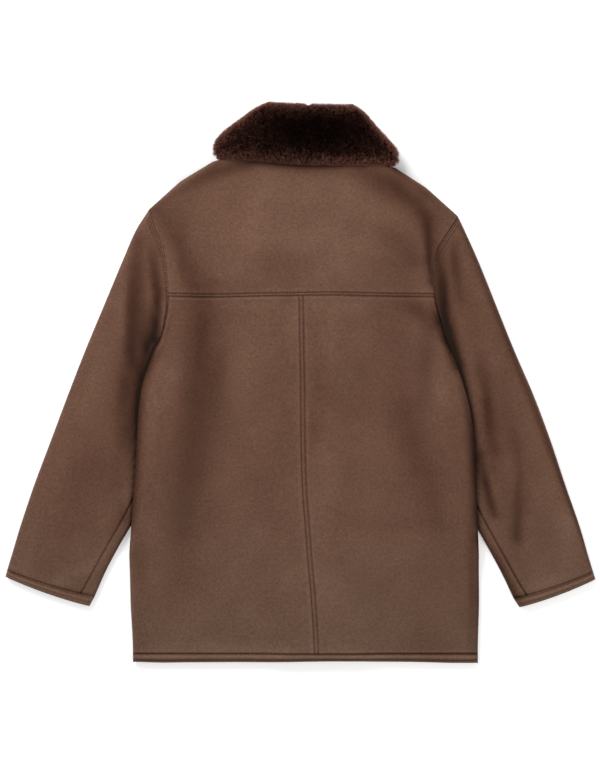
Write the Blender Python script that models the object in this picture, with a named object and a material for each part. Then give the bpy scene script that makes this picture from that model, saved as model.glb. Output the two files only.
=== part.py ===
"""A hip-length shearling coat, buttoned and laid flat on its front, so that its back faces up.

The coat lies on the plane z = 0, with its collar towards +Y and its hem towards -Y. Each cut piece is a
closed wall as thick as the skin and its clipped pile. Lengths are in metres.
"""

import math
from collections import namedtuple

import bmesh
import bpy
import numpy as np

# Thicknesses and clearances.
WALL = 0.006
LEAF = 0.012
SEAM_GAP = 0.0003
LAYER_GAP = 0.0004
CLEARANCE = 0.0010

# A folded edge is round over this distance from its line.
FOLD = 0.010
COLLAR_FOLD = 0.018
FOLD_STEPS = (0.0, 0.08, 0.34, 1.0)

# The fronts lap over each other by twice LAP, with the lower one flat on the floor.
LAP = 0.040
LAP_STEP = WALL + LAYER_GAP
LAP_MARGIN = 0.005
LAP_SLOPE = 0.060
LAP_TOP = 0.276

# The body lies on the tucked sleeves and on the collar's front leaves, and comes down beside them.
SLEEVE_LIFT = 2 * WALL + LAYER_GAP + CLEARANCE
COLLAR_LIFT = LEAF + CLEARANCE
SLEEVE_MARGIN = 0.014
SLEEVE_SLOPE = 0.034
COLLAR_SLOPE = 0.055

SIDE_COLUMNS = 8
SIDE_CROWDING = 1.25
COLLAR_COLUMNS = 3
STAND_COLUMNS = 5
CUFF_BOW = 0.0035

# Sections of the body from hem to neck: both ends of the section, the centre seam, half the lap.
BodySection = namedtuple("BodySection", "left_x left_y right_x right_y centre_x half_lap")
BODY_SECTIONS = {
    "hem edge": BodySection(-0.267, -0.448, 0.285, -0.448, 0.0305, LAP),
    "hem seam": BodySection(-0.267, -0.434, 0.285, -0.434, 0.0300, LAP),
    "low hip": BodySection(-0.271, -0.345, 0.287, -0.345, 0.0248, LAP),
    "hip": BodySection(-0.272, -0.280, 0.286, -0.280, 0.0190, LAP),
    "sleeve leaves": BodySection(-0.269, -0.237, 0.284, -0.237, 0.0157, LAP),
    "high hip": BodySection(-0.2665, -0.198, 0.283, -0.198, 0.0127, LAP),
    "low waist": BodySection(-0.263, -0.150, 0.2815, -0.150, 0.0099, LAP),
    "waist": BodySection(-0.260, -0.100, 0.2785, -0.100, 0.0087, LAP),
    "high waist": BodySection(-0.2572, -0.050, 0.2725, -0.050, 0.0082, LAP),
    "ribs": BodySection(-0.252, -0.010, 0.2625, -0.010, 0.0080, LAP),
    "sleeve tucks in": BodySection(-0.241, 0.027, 0.250, 0.027, 0.0074, LAP),
    "low underarm": BodySection(-0.233, 0.050, 0.241, 0.051, 0.0068, LAP),
    "underarm": BodySection(-0.223, 0.068, 0.233, 0.070, 0.0066, LAP),
    "armhole low": BodySection(-0.216, 0.090, 0.226, 0.096, 0.0063, LAP),
    "yoke seam": BodySection(-0.210, 0.1365, 0.215, 0.136, 0.0056, LAP),
    "armhole mid": BodySection(-0.212, 0.175, 0.212, 0.172, 0.0058, LAP),
    "armhole high": BodySection(-0.217, 0.210, 0.217, 0.206, 0.0062, LAP),
    "armhole top": BodySection(-0.230, 0.243, 0.233, 0.235, 0.0066, LAP),
    "shoulder point": BodySection(-0.241, 0.276, 0.253, 0.265, 0.0080, LAP),
    "shoulder": BodySection(-0.190, 0.320, 0.201, 0.310, 0.0090, 0.045),
    "collar corner": BodySection(-0.137, 0.352, 0.152, 0.3415, 0.0095, 0.052),
    "under collar": BodySection(-0.116, 0.357, 0.131, 0.3460, 0.0100, 0.055),
    "neck": BodySection(-0.079, 0.400, 0.100, 0.396, 0.0105, 0.060),
}

# Sections of each sleeve from armhole to cuff seam: the outer fold, the inner fold, and where the
# back seam of the under sleeve crosses the section, as a share of its width.
SleeveSection = namedtuple("SleeveSection", "outer_x outer_y inner_x inner_y seam")
SLEEVE_LEFT = (
    SleeveSection(-0.241, 0.276, -0.223, 0.068, 0.90),
    SleeveSection(-0.262, 0.243, -0.2334, 0.051, 0.90),
    SleeveSection(-0.283, 0.195, -0.2414, 0.028, 0.90),
    SleeveSection(-0.313, 0.123, -0.235, -0.003, 0.89),
    SleeveSection(-0.343, 0.051, -0.215, -0.045, 0.89),
    SleeveSection(-0.371, -0.021, -0.207, -0.085, 0.88),
    SleeveSection(-0.398, -0.093, -0.211, -0.122, 0.88),
    SleeveSection(-0.425, -0.165, -0.241, -0.186, 0.87),
    SleeveSection(-0.449, -0.237, -0.274, -0.237, 0.885),
    SleeveSection(-0.460, -0.274, -0.309, -0.300, 0.875),
    SleeveSection(-0.468, -0.3005, -0.328, -0.343, 0.84),
)
SLEEVE_RIGHT = (
    SleeveSection(0.253, 0.265, 0.233, 0.070, 0.90),
    SleeveSection(0.268, 0.233, 0.2416, 0.051, 0.90),
    SleeveSection(0.285, 0.195, 0.2506, 0.028, 0.90),
    SleeveSection(0.314, 0.123, 0.245, -0.003, 0.89),
    SleeveSection(0.343, 0.051, 0.228, -0.045, 0.89),
    SleeveSection(0.374, -0.021, 0.220, -0.085, 0.88),
    SleeveSection(0.401, -0.093, 0.224, -0.122, 0.88),
    SleeveSection(0.425, -0.165, 0.254, -0.186, 0.87),
    SleeveSection(0.4498, -0.237, 0.285, -0.237, 0.885),
    SleeveSection(0.461, -0.276, 0.321, -0.302, 0.875),
    SleeveSection(0.4692, -0.303, 0.342, -0.346, 0.84),
)
FIRST_TUCKED = 2
LAST_TUCKED = 8
ARMHOLE_FADE = 0.35

# The lower edge of each cuff band, from its outer fold to its inner fold.
CUFF_EDGES = {"left": (-0.471, -0.311, -0.336, -0.358), "right": (0.473, -0.315, 0.351, -0.360)}

# Collar: rows from the roll line to the leaf's edge, with the side fold, the centre back and the front tip.
CollarRow = namedtuple("CollarRow", "fold_x fold_y centre_x centre_y tip_x tip_y")
COLLAR_LEFT = (
    CollarRow(-0.060, 0.446, 0.014, 0.443, 0.000, 0.318),
    CollarRow(-0.074, 0.438, 0.014, 0.430, -0.006, 0.312),
    CollarRow(-0.104, 0.415, 0.013, 0.404, -0.022, 0.296),
    CollarRow(-0.130, 0.390, 0.012, 0.379, -0.040, 0.275),
    CollarRow(-0.138, 0.371, 0.011, 0.358, -0.054, 0.257),
    CollarRow(-0.137, 0.359, 0.010, 0.347, -0.060, 0.250),
)
COLLAR_RIGHT = (
    CollarRow(0.092, 0.441, 0.014, 0.443, 0.021, 0.318),
    CollarRow(0.105, 0.429, 0.014, 0.430, 0.027, 0.312),
    CollarRow(0.128, 0.403, 0.013, 0.404, 0.043, 0.296),
    CollarRow(0.149, 0.377, 0.012, 0.379, 0.061, 0.275),
    CollarRow(0.158, 0.361, 0.011, 0.358, 0.075, 0.257),
    CollarRow(0.158, 0.347, 0.010, 0.347, 0.081, 0.250),
)
COLLAR_RIM = 0.012
RIM_SHARE = 0.40

# The floor that the collar's front leaves take up under the body.
COLLAR_BED = (
    (-0.164, 0.340),
    (-0.066, 0.460),
    (0.098, 0.455),
    (0.184, 0.330),
    (0.104, 0.230),
    (-0.084, 0.230),
)

# Stand: the neck seam and the roll line, from the side fold along the front to the centre front.
StandPoint = namedtuple("StandPoint", "seam_x seam_y roll_x roll_y")
STAND_FRONT_LEFT = (
    StandPoint(-0.079, 0.4000, -0.040, 0.436),
    StandPoint(-0.0485, 0.4000, -0.030, 0.415),
    StandPoint(-0.0415, 0.3560, -0.020, 0.375),
    StandPoint(-0.0325, 0.3150, -0.008, 0.335),
    StandPoint(-0.0280, 0.2850, 0.0095, 0.300),
)
STAND_MIDDLE = 0.0105
STAND_FOLD_RIGHT = StandPoint(0.100, 0.3960, 0.061, 0.434)

# Soft creases: two ends, width, and height above (or, below zero, depth under) the even surface.
Crease = namedtuple("Crease", "start_x start_y end_x end_y width height")
CREASES = (
    Crease(-0.146, 0.131, -0.185, -0.237, 0.026, -0.0016),
    Crease(0.148, 0.091, 0.186, -0.189, 0.028, -0.0014),
    Crease(-0.223, 0.019, -0.231, -0.157, 0.022, 0.0012),
    Crease(0.230, 0.011, 0.244, -0.157, 0.022, 0.0012),
    Crease(-0.204, 0.256, -0.159, 0.166, 0.020, -0.0010),
    Crease(0.158, 0.300, 0.183, 0.192, 0.022, -0.0012),
    Crease(-0.265, 0.219, -0.266, 0.051, 0.016, -0.0012),
    Crease(-0.319, 0.051, -0.383, -0.157, 0.030, 0.0014),
    Crease(0.279, 0.059, 0.313, -0.141, 0.016, -0.0014),
    Crease(0.334, -0.125, 0.350, -0.261, 0.016, -0.0012),
    Crease(0.318, 0.003, 0.345, -0.141, 0.022, 0.0012),
)
EVEN_RISE = 0.0018
MOST_RISE = 0.0034

LEATHER = (0.146, 0.078, 0.051)
SEAM_LEATHER = (0.120, 0.062, 0.040)
FUR = (0.022, 0.007, 0.005)
LEATHER_ROUGHNESS = 0.5
FUR_ROUGHNESS = 0.9


def smooth(share):
    """0 to 1 with level ends."""
    share = np.clip(share, 0.0, 1.0)
    return share * share * (3.0 - 2.0 * share)


def round_edge(distance, reach):
    """Height of a quarter round, as a share, at a distance in from its edge."""
    share = np.clip(distance / reach, 0.0, 1.0)
    return np.sqrt(1.0 - (1.0 - share) ** 2)


def distance_to_line(x, y, points):
    """Distance in plan from x, y to a run of straight stretches."""
    nearest = np.full(np.shape(x), np.inf)
    for start, end in zip(points[:-1], points[1:]):
        run_x = end[0] - start[0]
        run_y = end[1] - start[1]
        share = ((x - start[0]) * run_x + (y - start[1]) * run_y) / (run_x**2 + run_y**2)
        share = np.clip(share, 0.0, 1.0)
        gap = np.hypot(x - start[0] - share * run_x, y - start[1] - share * run_y)
        nearest = np.minimum(nearest, gap)
    return nearest


def tucked_edge(sleeve):
    """The stretch of a sleeve's inner fold that lies under the body, from the top down."""
    return [(row.inner_x, row.inner_y) for row in sleeve[FIRST_TUCKED : LAST_TUCKED + 1]]


def sleeve_lift(x, y):
    """How far a tucked sleeve raises the body."""
    lift = np.zeros(np.shape(x))
    for sleeve, side in ((SLEEVE_LEFT, -1.0), (SLEEVE_RIGHT, 1.0)):
        edge = tucked_edge(sleeve)
        top, low = edge[0][1], edge[-1][1]
        heights = [point[1] for point in reversed(edge)]
        places = [point[0] for point in reversed(edge)]
        over = (side * x > side * np.interp(y, heights, places)) & (y < top) & (y > low)
        away = np.where(over, 0.0, distance_to_line(x, y, edge))
        lift = np.maximum(lift, SLEEVE_LIFT * (1.0 - smooth((away - SLEEVE_MARGIN) / SLEEVE_SLOPE)))
    return lift


def collar_lift(x, y):
    """How far the collar's front leaves raise the body."""
    over = np.ones(np.shape(x), dtype=bool)
    ring = COLLAR_BED + COLLAR_BED[:1]
    for start, end in zip(ring[:-1], ring[1:]):
        turn = (end[0] - start[0]) * (y - start[1]) - (end[1] - start[1]) * (x - start[0])
        over &= turn <= 0.0
    away = np.where(over, 0.0, distance_to_line(x, y, ring))
    return COLLAR_LIFT * (1.0 - smooth(away / COLLAR_SLOPE))


def lift(x, y):
    return sleeve_lift(x, y) + collar_lift(x, y)


def rise(x, y):
    """The hollow between the two layers, which the creases make wider or narrower."""
    height = np.full(np.shape(x), EVEN_RISE)
    for crease in CREASES:
        away = distance_to_line(x, y, (crease[0:2], crease[2:4]))
        height = height + crease.height * np.exp(-((away / crease.width) ** 2))
    return np.clip(height, 0.0, MOST_RISE)


def covered(x, y):
    """1 on the sleeves where the body lies on them or beside them, 0 well clear of it."""
    names = list(BODY_SECTIONS)
    rows = [BODY_SECTIONS[name] for name in names[: names.index("underarm") + 1]]
    heights = [row.left_y for row in rows]
    left = np.interp(y, heights, [row.left_x for row in rows])
    right = np.interp(y, heights, [row.right_x for row in rows])
    outside = np.maximum(left - x, x - right)
    below = y < heights[-1] + SLEEVE_SLOPE
    return np.where(below, 1.0 - smooth((outside - SLEEVE_MARGIN) / SLEEVE_SLOPE), 0.0)


class Wall:
    """A wall between an outer and an inner grid of points, over the cells that are kept."""

    def __init__(self, outer, inner, cells=None, ring=False):
        self.outer = outer
        self.inner = inner
        self.ring = ring
        rows, columns = outer.shape[:2]
        wide = columns if ring else columns - 1
        self.cells = np.ones((rows - 1, wide), dtype=bool) if cells is None else cells

    def kept(self, row, column):
        rows, columns = self.cells.shape
        if self.ring:
            column %= columns
        return 0 <= row < rows and 0 <= column < columns and self.cells[row, column]

    def triangles(self):
        """Triangles as triples of (side, row, column), where side 0 is outer and 1 is inner."""
        columns = self.outer.shape[1]
        found = []

        def add(first, second, third):
            found.append([(side, row, column % columns) for side, row, column in (first, second, third)])

        for row, column in zip(*np.nonzero(self.cells)):
            for side in (0, 1):
                corners = [
                    (side, row, column),
                    (side, row, column + 1),
                    (side, row + 1, column + 1),
                    (side, row + 1, column),
                ]
                if side:
                    add(corners[0], corners[2], corners[1])
                    add(corners[0], corners[3], corners[2])
                else:
                    add(corners[0], corners[1], corners[2])
                    add(corners[0], corners[2], corners[3])
            rims = (
                (row - 1, column, (row, column + 1), (row, column)),
                (row + 1, column, (row + 1, column), (row + 1, column + 1)),
                (row, column - 1, (row, column), (row + 1, column)),
                (row, column + 1, (row + 1, column + 1), (row, column + 1)),
            )
            for next_row, next_column, start, end in rims:
                if not self.kept(next_row, next_column):
                    add((0, *start), (0, *end), (1, *end))
                    add((0, *start), (1, *end), (1, *start))
        return found

    def build(self, name, colour, roughness):
        """Makes the named object, one closed body with its faces outwards."""
        triangles = self.triangles()
        places = sorted({corner for triangle in triangles for corner in triangle})
        index = {place: number for number, place in enumerate(places)}
        sides = (self.outer, self.inner)
        work = bmesh.new()
        points = [work.verts.new(sides[side][row, column]) for side, row, column in places]
        for triangle in triangles:
            work.faces.new([points[index[corner]] for corner in triangle])
        bmesh.ops.recalc_face_normals(work, faces=work.faces)
        mesh = bpy.data.meshes.new(name)
        work.to_mesh(mesh)
        work.free()
        mesh.materials.append(finish(name, colour, roughness))
        piece = bpy.data.objects.new(name, mesh)
        bpy.context.scene.collection.objects.link(piece)
        return piece


def finish(name, colour, roughness):
    material = bpy.data.materials.new(name)
    material.use_nodes = True
    shader = material.node_tree.nodes["Principled BSDF"]
    shader.inputs["Base Color"].default_value = (*colour, 1.0)
    shader.inputs["Roughness"].default_value = roughness
    shader.inputs["Metallic"].default_value = 0.0
    return material


def body_plan():
    """Plan points of the body's sections and columns, with the names of the columns that matter."""
    folds = FOLD * np.array(FOLD_STEPS)
    sides = np.linspace(0.0, 1.0, SIDE_COLUMNS + 1)[1:] ** SIDE_CROWDING
    x = []
    y = []
    for row in BODY_SECTIONS.values():
        lap_left = row.centre_x - row.half_lap
        lap_right = row.centre_x + row.half_lap
        left = row.left_x + folds
        right = row.right_x - folds[::-1]
        run_left = left[-1] + sides * (lap_left - left[-1])
        run_right = right[0] + sides[::-1] * (lap_right - right[0])
        across = np.concatenate([left, run_left, [row.centre_x], run_right, right])
        share = (across - row.left_x) / (row.right_x - row.left_x)
        x.append(across)
        y.append(row.left_y + share * (row.right_y - row.left_y))
    lap_in = len(FOLD_STEPS) + SIDE_COLUMNS - 1
    marks = {"lap_left": lap_in, "centre": lap_in + 1, "lap_right": lap_in + 2}
    return np.array(x), np.array(y), marks


def fold_share(names):
    """1 for a section whose ends are folded edges, 0 where it meets a sleeve."""
    first = names.index("underarm") + 1
    last = names.index("shoulder point")
    return np.array([0.0 if first <= number < last else 1.0 for number in range(len(names))])


def lap_step(x, y, centre):
    """How far the lapped fronts raise what lies on them."""
    beside = smooth((np.abs(x - centre) - LAP - LAP_MARGIN) / LAP_SLOPE)
    above = smooth((y - LAP_TOP) / LAP_SLOPE)
    return LAP_STEP * (1.0 - beside) * (1.0 - above)


def body_layer(kind):
    """Outer and inner points of one layer of the body: back, front_low (left) or front_high (right)."""
    x, y, marks = body_plan()
    folded = fold_share(list(BODY_SECTIONS))[:, None]
    from_left = x - x[:, :1]
    from_right = x[:, -1:] - x
    distance = np.minimum(from_left, from_right)
    inward = np.where(from_left < from_right, 1.0, -1.0)
    edge = round_edge(distance, FOLD)
    hollow = LAYER_GAP + rise(x, y)
    middle = lift(x, y) + WALL + hollow / 2
    centre = x[:, marks["centre"]][:, None]
    if kind == "front_low":
        step = np.zeros(x.shape)
    else:
        step = lap_step(x, y, centre)
    if kind == "front_high":
        step = np.where(x >= x[:, marks["lap_left"]][:, None] - SEAM_GAP, step, 0.0)
    up = 1.0 if kind == "back" else -1.0
    grids = []
    for half, inner in ((WALL + hollow / 2, False), (hollow / 2, True)):
        curved = SEAM_GAP / 2 + (half - SEAM_GAP / 2) * edge
        height = middle + up * (folded * curved + (1.0 - folded) * half) + step
        along = np.clip(WALL * (1.0 - distance / FOLD), 0.0, None) * folded if inner else 0.0
        grids.append(np.stack([x + inward * along, y, height], axis=-1))
    return grids[0], grids[1], marks


def part_of(grids, rows, columns, gaps):
    """A block of the body's grid. gaps names the sides of the block that meet a seam."""
    blocks = []
    for grid in grids:
        block = grid[rows[0] : rows[1] + 1, columns[0] : columns[1] + 1].copy()
        half = SEAM_GAP / 2
        if "low" in gaps:
            block[0, :, 1] += half
        if "high" in gaps:
            block[-1, :, 1] -= half
        if "left" in gaps:
            block[:, 0, 0] += half
        if "right" in gaps:
            block[:, -1, 0] -= half
        blocks.append(block)
    return blocks


def make_body():
    names = list(BODY_SECTIONS)
    hem = names.index("hem seam")
    yoke = names.index("yoke seam")
    neck = names.index("neck")
    shoulder = names.index("shoulder point")
    outer, inner, marks = body_layer("back")
    last = outer.shape[1] - 1
    centre = marks["centre"]
    sides = ("low", "high", "left", "right")
    back = (outer, inner)
    Wall(*part_of(back, (yoke, neck), (0, last), sides)).build("back_yoke", LEATHER, LEATHER_ROUGHNESS)
    Wall(*part_of(back, (hem, yoke), (0, centre), sides)).build("back_left", LEATHER, LEATHER_ROUGHNESS)
    Wall(*part_of(back, (hem, yoke), (centre, last), sides)).build("back_right", LEATHER, LEATHER_ROUGHNESS)
    band = part_of(back, (0, hem), (0, last), ("high", "left", "right"))
    Wall(*band).build("hem_band_back", SEAM_LEATHER, LEATHER_ROUGHNESS)

    spans = {
        "left": ("front_low", (0, marks["lap_right"]), marks["lap_left"], ("low", "high", "left")),
        "right": ("front_high", (marks["lap_left"], last), marks["lap_right"], ("low", "high", "right")),
    }
    for side, (kind, columns, neckline, gaps) in spans.items():
        low, high, _ = body_layer(kind)
        front = part_of((low, high), (hem, neck), columns, gaps)
        cells = np.ones((neck - hem, columns[1] - columns[0]), dtype=bool)
        above = shoulder - hem
        if side == "left":
            cells[above:, neckline - columns[0] :] = False
        else:
            cells[above:, : neckline - columns[0]] = False
        Wall(*front, cells).build("front_" + side, LEATHER, LEATHER_ROUGHNESS)
        band = part_of((low, high), (0, hem), columns, ("high", gaps[2]))
        Wall(*band).build("hem_band_front_" + side, SEAM_LEATHER, LEATHER_ROUGHNESS)


class Tube:
    """A sleeve lying flat: rows from armhole to cuff, each across from the outer to the inner fold."""

    def __init__(self, side):
        self.sign = -1.0 if side == "left" else 1.0
        self.rows = SLEEVE_LEFT if side == "left" else SLEEVE_RIGHT
        names = list(BODY_SECTIONS)
        first = names.index("underarm")
        last = names.index("shoulder point")
        ends = (0, 1) if side == "left" else (2, 3)
        hole = [[BODY_SECTIONS[name][end] for end in ends] for name in names[first : last + 1]]
        self.hole = np.array(hole[::-1])
        steps = np.hypot(*np.diff(self.hole, axis=0).T)
        self.stations = np.concatenate([[0.0], np.cumsum(steps)]) / steps.sum()
        self.cuff = CUFF_EDGES[side]

    def plan(self, row, share):
        """Plan point at a share of the way across a row."""
        section = self.rows[row]
        first = self.rows[0]
        x = section.outer_x + share * (section.inner_x - section.outer_x)
        y = section.outer_y + share * (section.inner_y - section.outer_y)
        hole_x = np.interp(share, self.stations, self.hole[:, 0])
        hole_y = np.interp(share, self.stations, self.hole[:, 1])
        down = row / (len(self.rows) - 1)
        fade = 1.0 - smooth(down / ARMHOLE_FADE)
        x += fade * (hole_x - first.outer_x - share * (first.inner_x - first.outer_x))
        y += fade * (hole_y - first.outer_y - share * (first.inner_y - first.outer_y))
        bow = CUFF_BOW * down**4 * 4.0 * share * (1.0 - share)
        return x, y - bow

    def width(self, row):
        if row == 0:
            return np.hypot(*np.diff(self.hole, axis=0).T).sum()
        section = self.rows[row]
        return math.hypot(section.inner_x - section.outer_x, section.inner_y - section.outer_y)

    def points(self, row, marks):
        """Outer and inner points of a row. marks are (up, distance from the outer fold)."""
        wide = self.width(row)
        sides = []
        for inner in (False, True):
            line = []
            for up, distance in marks:
                near = min(distance, wide - distance)
                place = distance
                if inner and near < FOLD:
                    shift = WALL * (1.0 - near / FOLD)
                    place = distance + shift if distance < wide / 2 else distance - shift
                x, y = self.plan(row, place / wide)
                own = rise(x, y) * (1.0 - covered(x, y))
                hollow = LAYER_GAP + own
                half = hollow / 2 if inner else WALL + hollow / 2
                height = WALL + hollow / 2 + up * half * round_edge(near, FOLD)
                line.append((x, y, height))
            sides.append(line)
        return sides

    def across(self, row):
        """Distances from the outer fold of the columns of the top sleeve, then of the under sleeve."""
        wide = self.width(row)
        seam = self.rows[row].seam * wide
        folds = FOLD * np.array(FOLD_STEPS)
        inner_stations = self.stations[1:-2] / self.stations[-2]
        top = np.concatenate([folds, inner_stations * seam, [seam]])
        under = wide - folds[::-1]
        return top, under


def round_marks(top, under):
    """The way round each piece: the top sleeve round the outer fold, the under sleeve round the inner."""
    top_marks = [(-1.0, place) for place in top[:0:-1]] + [(1.0, place) for place in top]
    under_marks = [(1.0, top[-1])] + [(1.0, place) for place in under]
    under_marks += [(-1.0, place) for place in under[-2::-1]] + [(-1.0, top[-1])]
    return top_marks, under_marks


def make_sleeve(side):
    tube = Tube(side)
    count = len(tube.rows)
    rows = [round_marks(*tube.across(row)) for row in range(count)]
    for piece, name in enumerate(("sleeve_" + side + "_top", "sleeve_" + side + "_under")):
        grids = np.array([tube.points(row, rows[row][piece]) for row in range(count)])
        outer, inner = grids[:, 0], grids[:, 1]
        for grid in (outer, inner):
            grid[0, :, 0] += tube.sign * SEAM_GAP / 2
            grid[-1, :, 1] += SEAM_GAP / 2
            part_seams(grid, top=piece == 0)
        Wall(outer, inner).build(name, LEATHER, LEATHER_ROUGHNESS)
    make_cuff(side, tube)


def part_seams(grid, top):
    """Draws both long edges of a sleeve piece back from its seams."""
    half = SEAM_GAP / 2
    for edge, beside in ((0, 1), (-1, -2)):
        away = grid[:, beside, :2] - grid[:, edge, :2]
        grid[:, edge, :2] += half * away / np.linalg.norm(away, axis=1)[:, None]


def make_cuff(side, tube):
    """A band round the sleeve's end, in line with both sleeve pieces."""
    last = len(tube.rows) - 1
    top, under = tube.across(last)
    top_marks, under_marks = round_marks(top, under)
    marks = top_marks + under_marks[1:-1]
    outer, inner = (np.array(line) for line in tube.points(last, marks))
    wide = tube.width(last)
    start_x, start_y, end_x, end_y, _ = tube.rows[last]
    low_x, low_y, far_x, far_y = tube.cuff
    bands = []
    for grid in (outer, inner):
        along = (grid[:, 0] - start_x) * (end_x - start_x) + (grid[:, 1] - start_y) * (end_y - start_y)
        share = along / wide**2
        lower = grid.copy()
        lower[:, 0] += (low_x - start_x) * (1.0 - share) + (far_x - end_x) * share
        lower[:, 1] += (low_y - start_y) * (1.0 - share) + (far_y - end_y) * share
        upper = grid.copy()
        upper[:, 1] -= SEAM_GAP / 2
        bands.append(np.array([upper, (upper + lower) / 2, lower]))
    Wall(*bands, ring=True).build("cuff_" + side, SEAM_LEATHER, LEATHER_ROUGHNESS)


def collar_half(side):
    """Half the collar's fall: the back leaf, the side fold and the front leaf in one fur piece."""
    rows = COLLAR_LEFT if side == "left" else COLLAR_RIGHT
    inward = 1.0 if side == "left" else -1.0
    top = COLLAR_LIFT + 2 * WALL + LAYER_GAP + EVEN_RISE + CLEARANCE
    whole = top + LEAF
    folds = COLLAR_FOLD * np.array(FOLD_STEPS)
    shares = np.linspace(0.0, 1.0, COLLAR_COLUMNS + 1)[1:]
    drop = [0.0]
    for upper, lower in zip(rows[:-1], rows[1:]):
        drop.append(drop[-1] + math.hypot(lower.centre_x - upper.centre_x, lower.centre_y - upper.centre_y))
    sides = ([], [])
    for row, fallen in zip(rows, drop):
        fold = np.array(row[0:2])
        centre = np.array(row[2:4]) - (inward * SEAM_GAP / 2, 0.0)
        tip = np.array(row[4:6])
        rim = RIM_SHARE + (1.0 - RIM_SHARE) * round_edge(min(fallen, drop[-1] - fallen), COLLAR_RIM)
        for inner in (False, True):
            line = []
            round_way = (centre - fold) / np.linalg.norm(centre - fold)
            start = fold + round_way * COLLAR_FOLD
            for up, end in ((-1.0, tip), (1.0, centre)):
                points = []
                for distance in folds:
                    shift = LEAF * (1.0 - distance / COLLAR_FOLD) if inner else 0.0
                    half = whole / 2 - LEAF + (0.0 if inner else LEAF * rim)
                    height = whole / 2 + up * half * round_edge(distance, COLLAR_FOLD)
                    points.append((*(fold + round_way * (distance + shift)), height))
                points += [(*(start + share * (end - start)), height) for share in shares]
                line.append(points)
            sides[inner].append(line[0][:0:-1] + line[1])
    outer, inner = (np.array(grid) for grid in sides)
    Wall(outer, inner).build("collar_" + side, FUR, FUR_ROUGHNESS)


def make_stand():
    """The band between the neck seam and the roll line, open at the centre front."""
    front = np.array(STAND_FRONT_LEFT)
    mirrored = front.copy()
    mirrored[:, (0, 2)] = 2 * STAND_MIDDLE - mirrored[:, (0, 2)]
    mirrored[0] = STAND_FOLD_RIGHT
    steps = (0.0, 0.5, 1.0)
    hollow = LAYER_GAP + EVEN_RISE
    middle = COLLAR_LIFT + WALL + hollow / 2
    folds = FOLD * np.array(FOLD_STEPS)
    sides = ([], [])
    for step in steps:
        ways = [lines[:, :2] * (1.0 - step) + lines[:, 2:] * step for lines in (front, mirrored)]
        back_share = np.linspace(0.0, 1.0, STAND_COLUMNS + 2)[1:-1]
        corners = (ways[0][0], ways[1][0])
        across = corners[1] - corners[0]
        wide = np.linalg.norm(across)
        for inner in (False, True):
            half = hollow / 2 if inner else WALL + hollow / 2

            def folded(origin, way, distance, up):
                shift = WALL * (1.0 - distance / FOLD) if inner else 0.0
                place = origin + way * (distance + shift)
                return (*place, middle + up * half * round_edge(distance, FOLD))

            line = []
            for hand, way in enumerate(ways):
                along = way[1] - way[0]
                along = along / np.linalg.norm(along)
                part = [(*point, middle - half) for point in way[:0:-1]]
                part += [folded(way[0], along, distance, -1.0) for distance in folds[::-1]]
                inward = across / wide * (1.0 if hand == 0 else -1.0)
                part += [folded(way[0], inward, distance, 1.0) for distance in folds[1:]]
                line.append(part)
            back = [(*(corners[0] + share * across), middle + half) for share in back_share]
            sides[inner].append(line[0] + back + line[1][::-1])
    outer, inner = (np.array(grid) for grid in sides)
    for grid in (outer, inner):
        grid[0, :, 1] += SEAM_GAP / 2
    Wall(outer, inner).build("collar_stand", SEAM_LEATHER, LEATHER_ROUGHNESS)


def main():
    for old in list(bpy.data.objects):
        bpy.data.objects.remove(old, do_unlink=True)
    make_body()
    for side in ("left", "right"):
        make_sleeve(side)
        collar_half(side)
    make_stand()


main()
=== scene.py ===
"""The look of a brown shearling coat with a fur collar, laid flat on its front, back up.

Every piece is a fine wall on the form of its solid. Lengths are in metres, +Z up, collar towards +Y.
Only the rows of the tables are in millimetres, with shares in hundredths.
"""

import math
from collections import namedtuple

import bpy
import numpy as np
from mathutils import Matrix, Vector
from mathutils.bvhtree import BVHTree
from mathutils.kdtree import KDTree


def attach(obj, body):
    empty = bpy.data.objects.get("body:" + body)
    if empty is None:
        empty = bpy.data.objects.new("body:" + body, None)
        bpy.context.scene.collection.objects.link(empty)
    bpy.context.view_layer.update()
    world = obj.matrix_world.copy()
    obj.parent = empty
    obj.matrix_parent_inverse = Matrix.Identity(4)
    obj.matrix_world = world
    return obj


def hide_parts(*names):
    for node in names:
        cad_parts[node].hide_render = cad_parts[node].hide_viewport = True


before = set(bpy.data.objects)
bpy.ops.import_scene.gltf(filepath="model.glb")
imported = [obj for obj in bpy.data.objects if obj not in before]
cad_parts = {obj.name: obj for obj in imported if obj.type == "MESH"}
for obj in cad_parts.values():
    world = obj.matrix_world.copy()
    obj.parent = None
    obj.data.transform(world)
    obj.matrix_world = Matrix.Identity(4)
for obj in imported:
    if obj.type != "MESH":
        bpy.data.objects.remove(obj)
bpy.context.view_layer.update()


def table(columns, rows, shares=0):
    """Rows with named columns: lengths from millimetres, and the last columns, shares, from hundredths."""
    kind = namedtuple("Row", columns)
    scales = (1000.0,) * (len(kind._fields) - shares) + (100.0,) * shares
    return tuple(kind(*(value / scale for value, scale in zip(row, scales))) for row in rows)


# Sizes that the solids have too.
WALL = 0.006
LEAF = 0.012
SEAM_GAP = 0.00006
LAYER_GAP = 0.0004
CLEARANCE = 0.0010
FOLD = 0.010
COLLAR_FOLD = 0.018
LAP = 0.040
LAP_STEP = WALL + LAYER_GAP
LAP_MARGIN = 0.005
LAP_SLOPE = 0.060
LAP_TOP = 0.276
SLEEVE_LIFT = 2 * WALL + LAYER_GAP + CLEARANCE
SLEEVE_MARGIN = 0.006
SLEEVE_SLOPE = 0.080
COLLAR_LIFT = LEAF + CLEARANCE
COLLAR_SLOPE = 0.130
CUFF_BOW = 0.0035
ARMHOLE_FADE = 0.35
EVEN_RISE = 0.0022
MOST_RISE = 0.0056

# Mesh steps: on faces that show, and on hidden ones.
FINE = 0.004
COARSE = 0.009

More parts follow.
